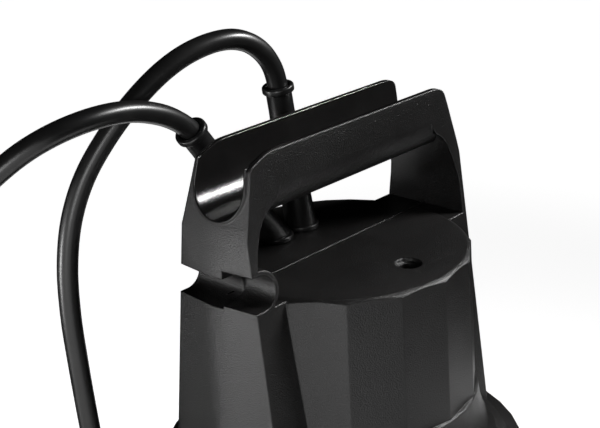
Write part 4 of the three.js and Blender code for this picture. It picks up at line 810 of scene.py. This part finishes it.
neck, neckRows = plug["neck"], []
for i in range(neck["rings"]):
    z, full = neck["start"] + neck["pitch"] * i, neck["radius"] + neck["growth"] * i
    neckRows += [(full - neck["groove"] * inside, z + along) for inside, along in neck["rows"]]
bodyRows = [(plugWidth(z), z) for z in plug["body"]]
plugBody = spun("plug_moulding", plug["cableEnd"] + neckRows + plug["shoulder"] + bodyRows + plug["face"],
                plug["steps"])
ridge = plug["ridge"]
ridgePlaces = [(side * ridge["out"], 0, z) for side in (-1, 1) for z in ridge["heights"]]
ridges = repeated("plug_ridges", meshFrom("plug_ridge_master", *gripRidge(ridge)), ridgePlaces,
                  finishes["plug_case"])
dress(finishSurface(alongPlug(joined("plug_body", plugBody, ridges))), "plug_case", "pump", "mains_plug")
pin = plug["pin"]
pinRows = [(pin["root"], pin["start"]), (pin["radius"], pin["start"] + pin["rootSlope"])]
pinRows += [(pin["radius"] * share, pin["end"] - before) for share, before in pin["nose"]]
pins = repeated("plug_pins", spun("pin_master", pinRows, pin["steps"]),
                [(side * pin["gap"] / 2, 0, 0) for side in (-1, 1)], finishes["pin_metal"])
dress(finishSurface(alongPlug(pins)), "pin_metal", "pump", "plug_pin_left", "plug_pin_right")
print("plug made")

# float switch, which lies on the coil

buoy = {
    "neckX": -166.0, "y": 43.0, "z": 41.5, "base": 19.5, "length": 94.0, "width": 64.0, "height": 44.0,
    "wall": 2.6, "neckWidth": 30.0, "neckHeight": 27.0, "gap": 0.3, "steps": 28, "rows": 46, "power": 2 / 3.4,
    "edge": 0.45, "angle": 40,
    "stations": [(0, 0), (0.05, 0.16), (0.2, 0.52), (0.38, 0.83), (0.58, 1), (0.8, 0.98), (0.93, 0.86),
                 (0.985, 0.7), (1, 0.55)],
    "rail": {"x0": -259.0, "x1": -188.8, "half": 5.0, "width": 3.0, "lift": 1.4, "top": 29.5},
    "boot": [(5.1, 20), (6.6, 20), (6.7, 15), (5.9, 14.6), (5.9, 12.6), (7.1, 12.2), (7.2, 9), (6.3, 8.6),
             (6.3, 6.6), (7.8, 6.2), (8.4, 1), (8.4, -2.9), (10.6, -2.9), (10.6, -5.3), (5.1, -5.3)],
}


def buoyGrow(share):
    # even curve through the stations, so that the shell has no creases along its length
    stations = buoy["stations"]
    for k in range(len(stations) - 1):
        (s0, g0), (s1, g1) = stations[k], stations[k + 1]
        if share <= s1:
            before = stations[max(k - 1, 0)]
            after = stations[min(k + 2, len(stations) - 1)]
            m0 = (g1 - before[1]) / max(s1 - before[0], 1e-6)
            m1 = (after[1] - g0) / max(after[0] - s0, 1e-6)
            t, h = (share - s0) / (s1 - s0), s1 - s0
            value = ((2 * t ** 3 - 3 * t ** 2 + 1) * g0 + (t ** 3 - 2 * t ** 2 + t) * h * m0
                     + (-2 * t ** 3 + 3 * t ** 2) * g1 + (t ** 3 - t ** 2) * h * m1)
            return min(value, 1.0)
    return stations[-1][1]


def buoyRing(share, x, inset, start, sign):
    # half a rounded oblong across the float, its outer edge broken where the two halves meet
    grow = buoyGrow(share)
    wide = (buoy["neckWidth"] + (buoy["width"] - buoy["neckWidth"]) * grow) / 2 - inset
    high = (buoy["neckHeight"] + (buoy["height"] - buoy["neckHeight"]) * grow) / 2 - inset
    ring = []
    for i in range(buoy["steps"] + 1):
        a = math.pi * i / buoy["steps"]
        c, s = math.cos(a), math.sin(a)
        y = wide * math.copysign(abs(c) ** buoy["power"], c)
        z = max(high * abs(s) ** buoy["power"], start)
        if inset == 0 and i in (0, buoy["steps"]):
            y -= math.copysign(buoy["edge"], y)
        ring.append((x, buoy["y"] + y, buoy["z"] + sign * z))
    return ring


def buoyShell(name, sign):
    # an outer and an inner skin, closed along the joint and at both ends
    half = buoy["gap"] / 2
    points, faces, rings = [], [], []
    for inset in (0, buoy["wall"]):
        x0, x1 = buoy["neckX"] - inset, buoy["neckX"] - buoy["length"] + inset
        for row in range(buoy["rows"] + 1):
            share = 0.5 - 0.5 * math.cos(math.pi * row / buoy["rows"])
            rings.append(len(points))
            points += buoyRing(share, x0 + (x1 - x0) * share, inset, half, sign)
    rows, steps = buoy["rows"] + 1, buoy["steps"]
    for shell in (0, 1):
        for r in range(rows - 1):
            a, b = rings[shell * rows + r], rings[shell * rows + r + 1]
            faces += [(a + i, a + i + 1, b + i + 1, b + i) for i in range(steps)]
        for r in (0, rows - 1):
            a = rings[shell * rows + r]
            faces.append(tuple(range(a, a + steps + 1)))
    for r in range(rows - 1):
        for i in (0, steps):
            faces.append((rings[r] + i, rings[r + 1] + i, rings[rows + r + 1] + i, rings[rows + r] + i))
    for r in (0, rows - 1):
        outer, inner = rings[r], rings[rows + r]
        faces.append((outer, outer + steps, inner + steps, inner))
    return meshFrom(name, points, faces)


upperShell = buoyShell("float_upper_half", 1)
dress(finishSurface(upperShell, buoy["angle"]), "casing", "pump", "float_shell_upper")
lowerShell, rail = buoyShell("float_lower_half", -1), buoy["rail"]
railParts = []
for side in (-1, 1):
    y, half = buoy["y"] + side * (rail["half"] + rail["width"] / 2), rail["width"] / 2
    railParts.append(meshFrom("float_rail", *block((rail["x0"], y - half, buoy["base"] + rail["lift"]),
                                                   (rail["x1"], y + half, rail["top"]))))
dress(finishSurface(joined("float_lower_half_with_rails", lowerShell, *railParts), buoy["angle"]), "casing",
      "pump", "float_shell_lower")

boot = spun("float_boot", rounded(buoy["boot"], radius=0.5) + buoy["boot"][:1], steps=48, closedRing=True)
moved(boot, (0, 0, 1), (0, -1, 0), (1, 0, 0), (buoy["neckX"], buoy["y"], buoy["z"]))
floatBoot = dress(finishSurface(boot), "rubber", "pump", "float_cable_grommet")
print("float switch made")

# the other pieces keep the frame's shape, with flats crisp and round walls shaded round

plainAngle = 28
standIns = {name for thing in bpy.data.objects for name in thing.get("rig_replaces", [])}
slotOf = {row["node"]: row["material_slot"] for row in frame["record"]["subparts"]}
for body, nodeNames in frame["record"]["behaviour"]["bodies"].items():
    for nodeName in nodeNames:
        if nodeName not in standIns:
            dress(smoothCopy(nodeName, nodeName + "_piece", plainAngle), slotOf[nodeName], body, nodeName)
print("inner pieces made")

# floor, light and surroundings

studio = {
    "floor": (0.8, 0.8, 0.8), "floorRoughness": 0.9, "floorReach": 6000, "floorTop": -0.3,
    "floorLight": (0.5, 0.5, 0.5), "glowNear": 0.66, "glowFar": 0.98, "glowRange": (0.1, 0.7),
    "world": (1.0, 1.0, 1.0), "worldSeen": 0.97, "worldLight": 0.03, "aim": (0, 0, 0.18),
    "lamps": [
        {"name": "key", "place": (-0.8, 0.36, 0.07), "size": (0.2, 0.14), "power": 3.2, "spread": 180},
        {"name": "strip", "place": (0.88, -0.6, 0.93), "size": (0.5, 0.05), "power": 1.4, "spread": 40},
        {"name": "fill", "place": (-1.0, -0.6, 0.35), "size": (0.3, 0.5), "power": 3.2, "spread": 180},
    ],
}


def backgroundRays(tree):
    # 1 where the camera, a reflection or a clear part looks at the background, 0 for the light it gives
    rays = tree.nodes.new("ShaderNodeLightPath")
    total = rays.outputs["Is Camera Ray"]
    for name in ("Is Glossy Ray", "Is Transmission Ray"):
        total = calc(tree, "MAXIMUM", total, rays.outputs[name])
    return total


def levelSheet(name, reach, z):
    return meshFrom(name, [(-reach, -reach, z), (reach, -reach, z), (reach, reach, z), (-reach, reach, z)],
                    [(0, 1, 2, 3)])


def mattFinish(name, color, roughness):
    material = bpy.data.materials.new(name)
    material.use_nodes = True
    setInputs(material.node_tree.nodes["Principled BSDF"], {
        "Base Color": (*color, 1), "Roughness": roughness, "Specular IOR Level": 0.0})
    return material


# the floor lights the pump evenly, and where it is seen it glows, darker near the pump and white far off

floor = levelSheet("floor", studio["floorReach"], studio["floorTop"])
floorFinish = mattFinish("pale floor", studio["floor"], studio["floorRoughness"])
floorTree = floorFinish.node_tree
glow = node(floorTree, "ShaderNodeEmission", Color=(1, 1, 1, 1))
seen = floorTree.nodes.new("ShaderNodeAddShader")
coords = floorTree.nodes.new("ShaderNodeTexCoord")
away = floorTree.nodes.new("ShaderNodeVectorMath")
away.operation = "LENGTH"
near, far = studio["glowRange"]
share = node(floorTree, "ShaderNodeMapRange", From_Min=near, From_Max=far, To_Min=studio["glowNear"],
             To_Max=studio["glowFar"])
wire(floorTree, coords.outputs["Object"], away.inputs[0])
wire(floorTree, away.outputs["Value"], share.inputs["Value"])
wire(floorTree, share.outputs["Result"], glow.inputs["Strength"])
dim = node(floorTree, "ShaderNodeBsdfDiffuse", Color=(*studio["floorLight"], 1))
either = floorTree.nodes.new("ShaderNodeMixShader")
wire(floorTree, floorTree.nodes["Principled BSDF"].outputs["BSDF"], seen.inputs[0])
wire(floorTree, glow.outputs["Emission"], seen.inputs[1])
wire(floorTree, backgroundRays(floorTree), either.inputs["Fac"])
wire(floorTree, dim.outputs["BSDF"], either.inputs[1])
wire(floorTree, seen.outputs["Shader"], either.inputs[2])
wire(floorTree, either.outputs["Shader"], floorTree.nodes["Material Output"].inputs["Surface"])
floor.data.materials.append(floorFinish)

# black cards that only reflections see: one overhead, and three that lean back low down

cards = {
    "tone": (0.003, 0.003, 0.003), "roughness": 0.5, "overhead": {"height": 1250, "reach": 5000},
    "leaning": [
        {"name": "card_right", "from": -118, "to": 128, "steps": 24,
         "inner": (300, 10), "outer": (1250, 500)},
        {"name": "card_left", "from": 128, "to": 147, "steps": 4, "inner": (300, 6), "outer": (800, 90)},
        {"name": "card_near_left", "from": 94, "to": 141, "steps": 8, "inner": (125, 2), "outer": (300, 8)},
    ],
}


def leaningCard(card):
    # part of a wide cone, from an inner to an outer (radius, height)
    start, end, steps, points = card["from"], card["to"], card["steps"], []
    for i in range(steps + 1):
        a = math.radians(start + (end - start) * i / steps)
        for radius, z in (card["inner"], card["outer"]):
            points.append((radius * math.cos(a), radius * math.sin(a), z))
    return meshFrom(card["name"], points, [(2 * i, 2 * i + 1, 2 * i + 3, 2 * i + 2) for i in range(steps)])


blackCards = [levelSheet("card_overhead", cards["overhead"]["reach"], cards["overhead"]["height"])]
blackCards += [leaningCard(card) for card in cards["leaning"]]
cardFinish = mattFinish("black card", cards["tone"], cards["roughness"])
for card in blackCards:
    card.data.materials.append(cardFinish)
    card.visible_camera = False
    card.visible_diffuse = False
    card.visible_transmission = False
    card.visible_shadow = False

world = bpy.data.worlds.new("studio")
scene.world = world
world.use_nodes = True
worldTree = world.node_tree
background = worldTree.nodes["Background"]
background.inputs["Color"].default_value = (*studio["world"], 1)
amount = node(worldTree, "ShaderNodeMapRange", To_Min=studio["worldLight"], To_Max=studio["worldSeen"])
wire(worldTree, backgroundRays(worldTree), amount.inputs["Value"])
wire(worldTree, amount.outputs["Result"], background.inputs["Strength"])
for lamp in studio["lamps"]:
    data = bpy.data.lights.new(lamp["name"], "AREA")
    data.shape = "RECTANGLE"
    data.size, data.size_y = lamp["size"]
    data.energy = lamp["power"]
    data.spread = math.radians(lamp["spread"])
    light = link(bpy.data.objects.new(lamp["name"], data))
    light.location = lamp["place"]
    light.visible_camera = False
    aim = Vector(studio["aim"]) - Vector(lamp["place"])
    light.rotation_euler = aim.to_track_quat("-Z", "Y").to_euler()
print("studio lit")
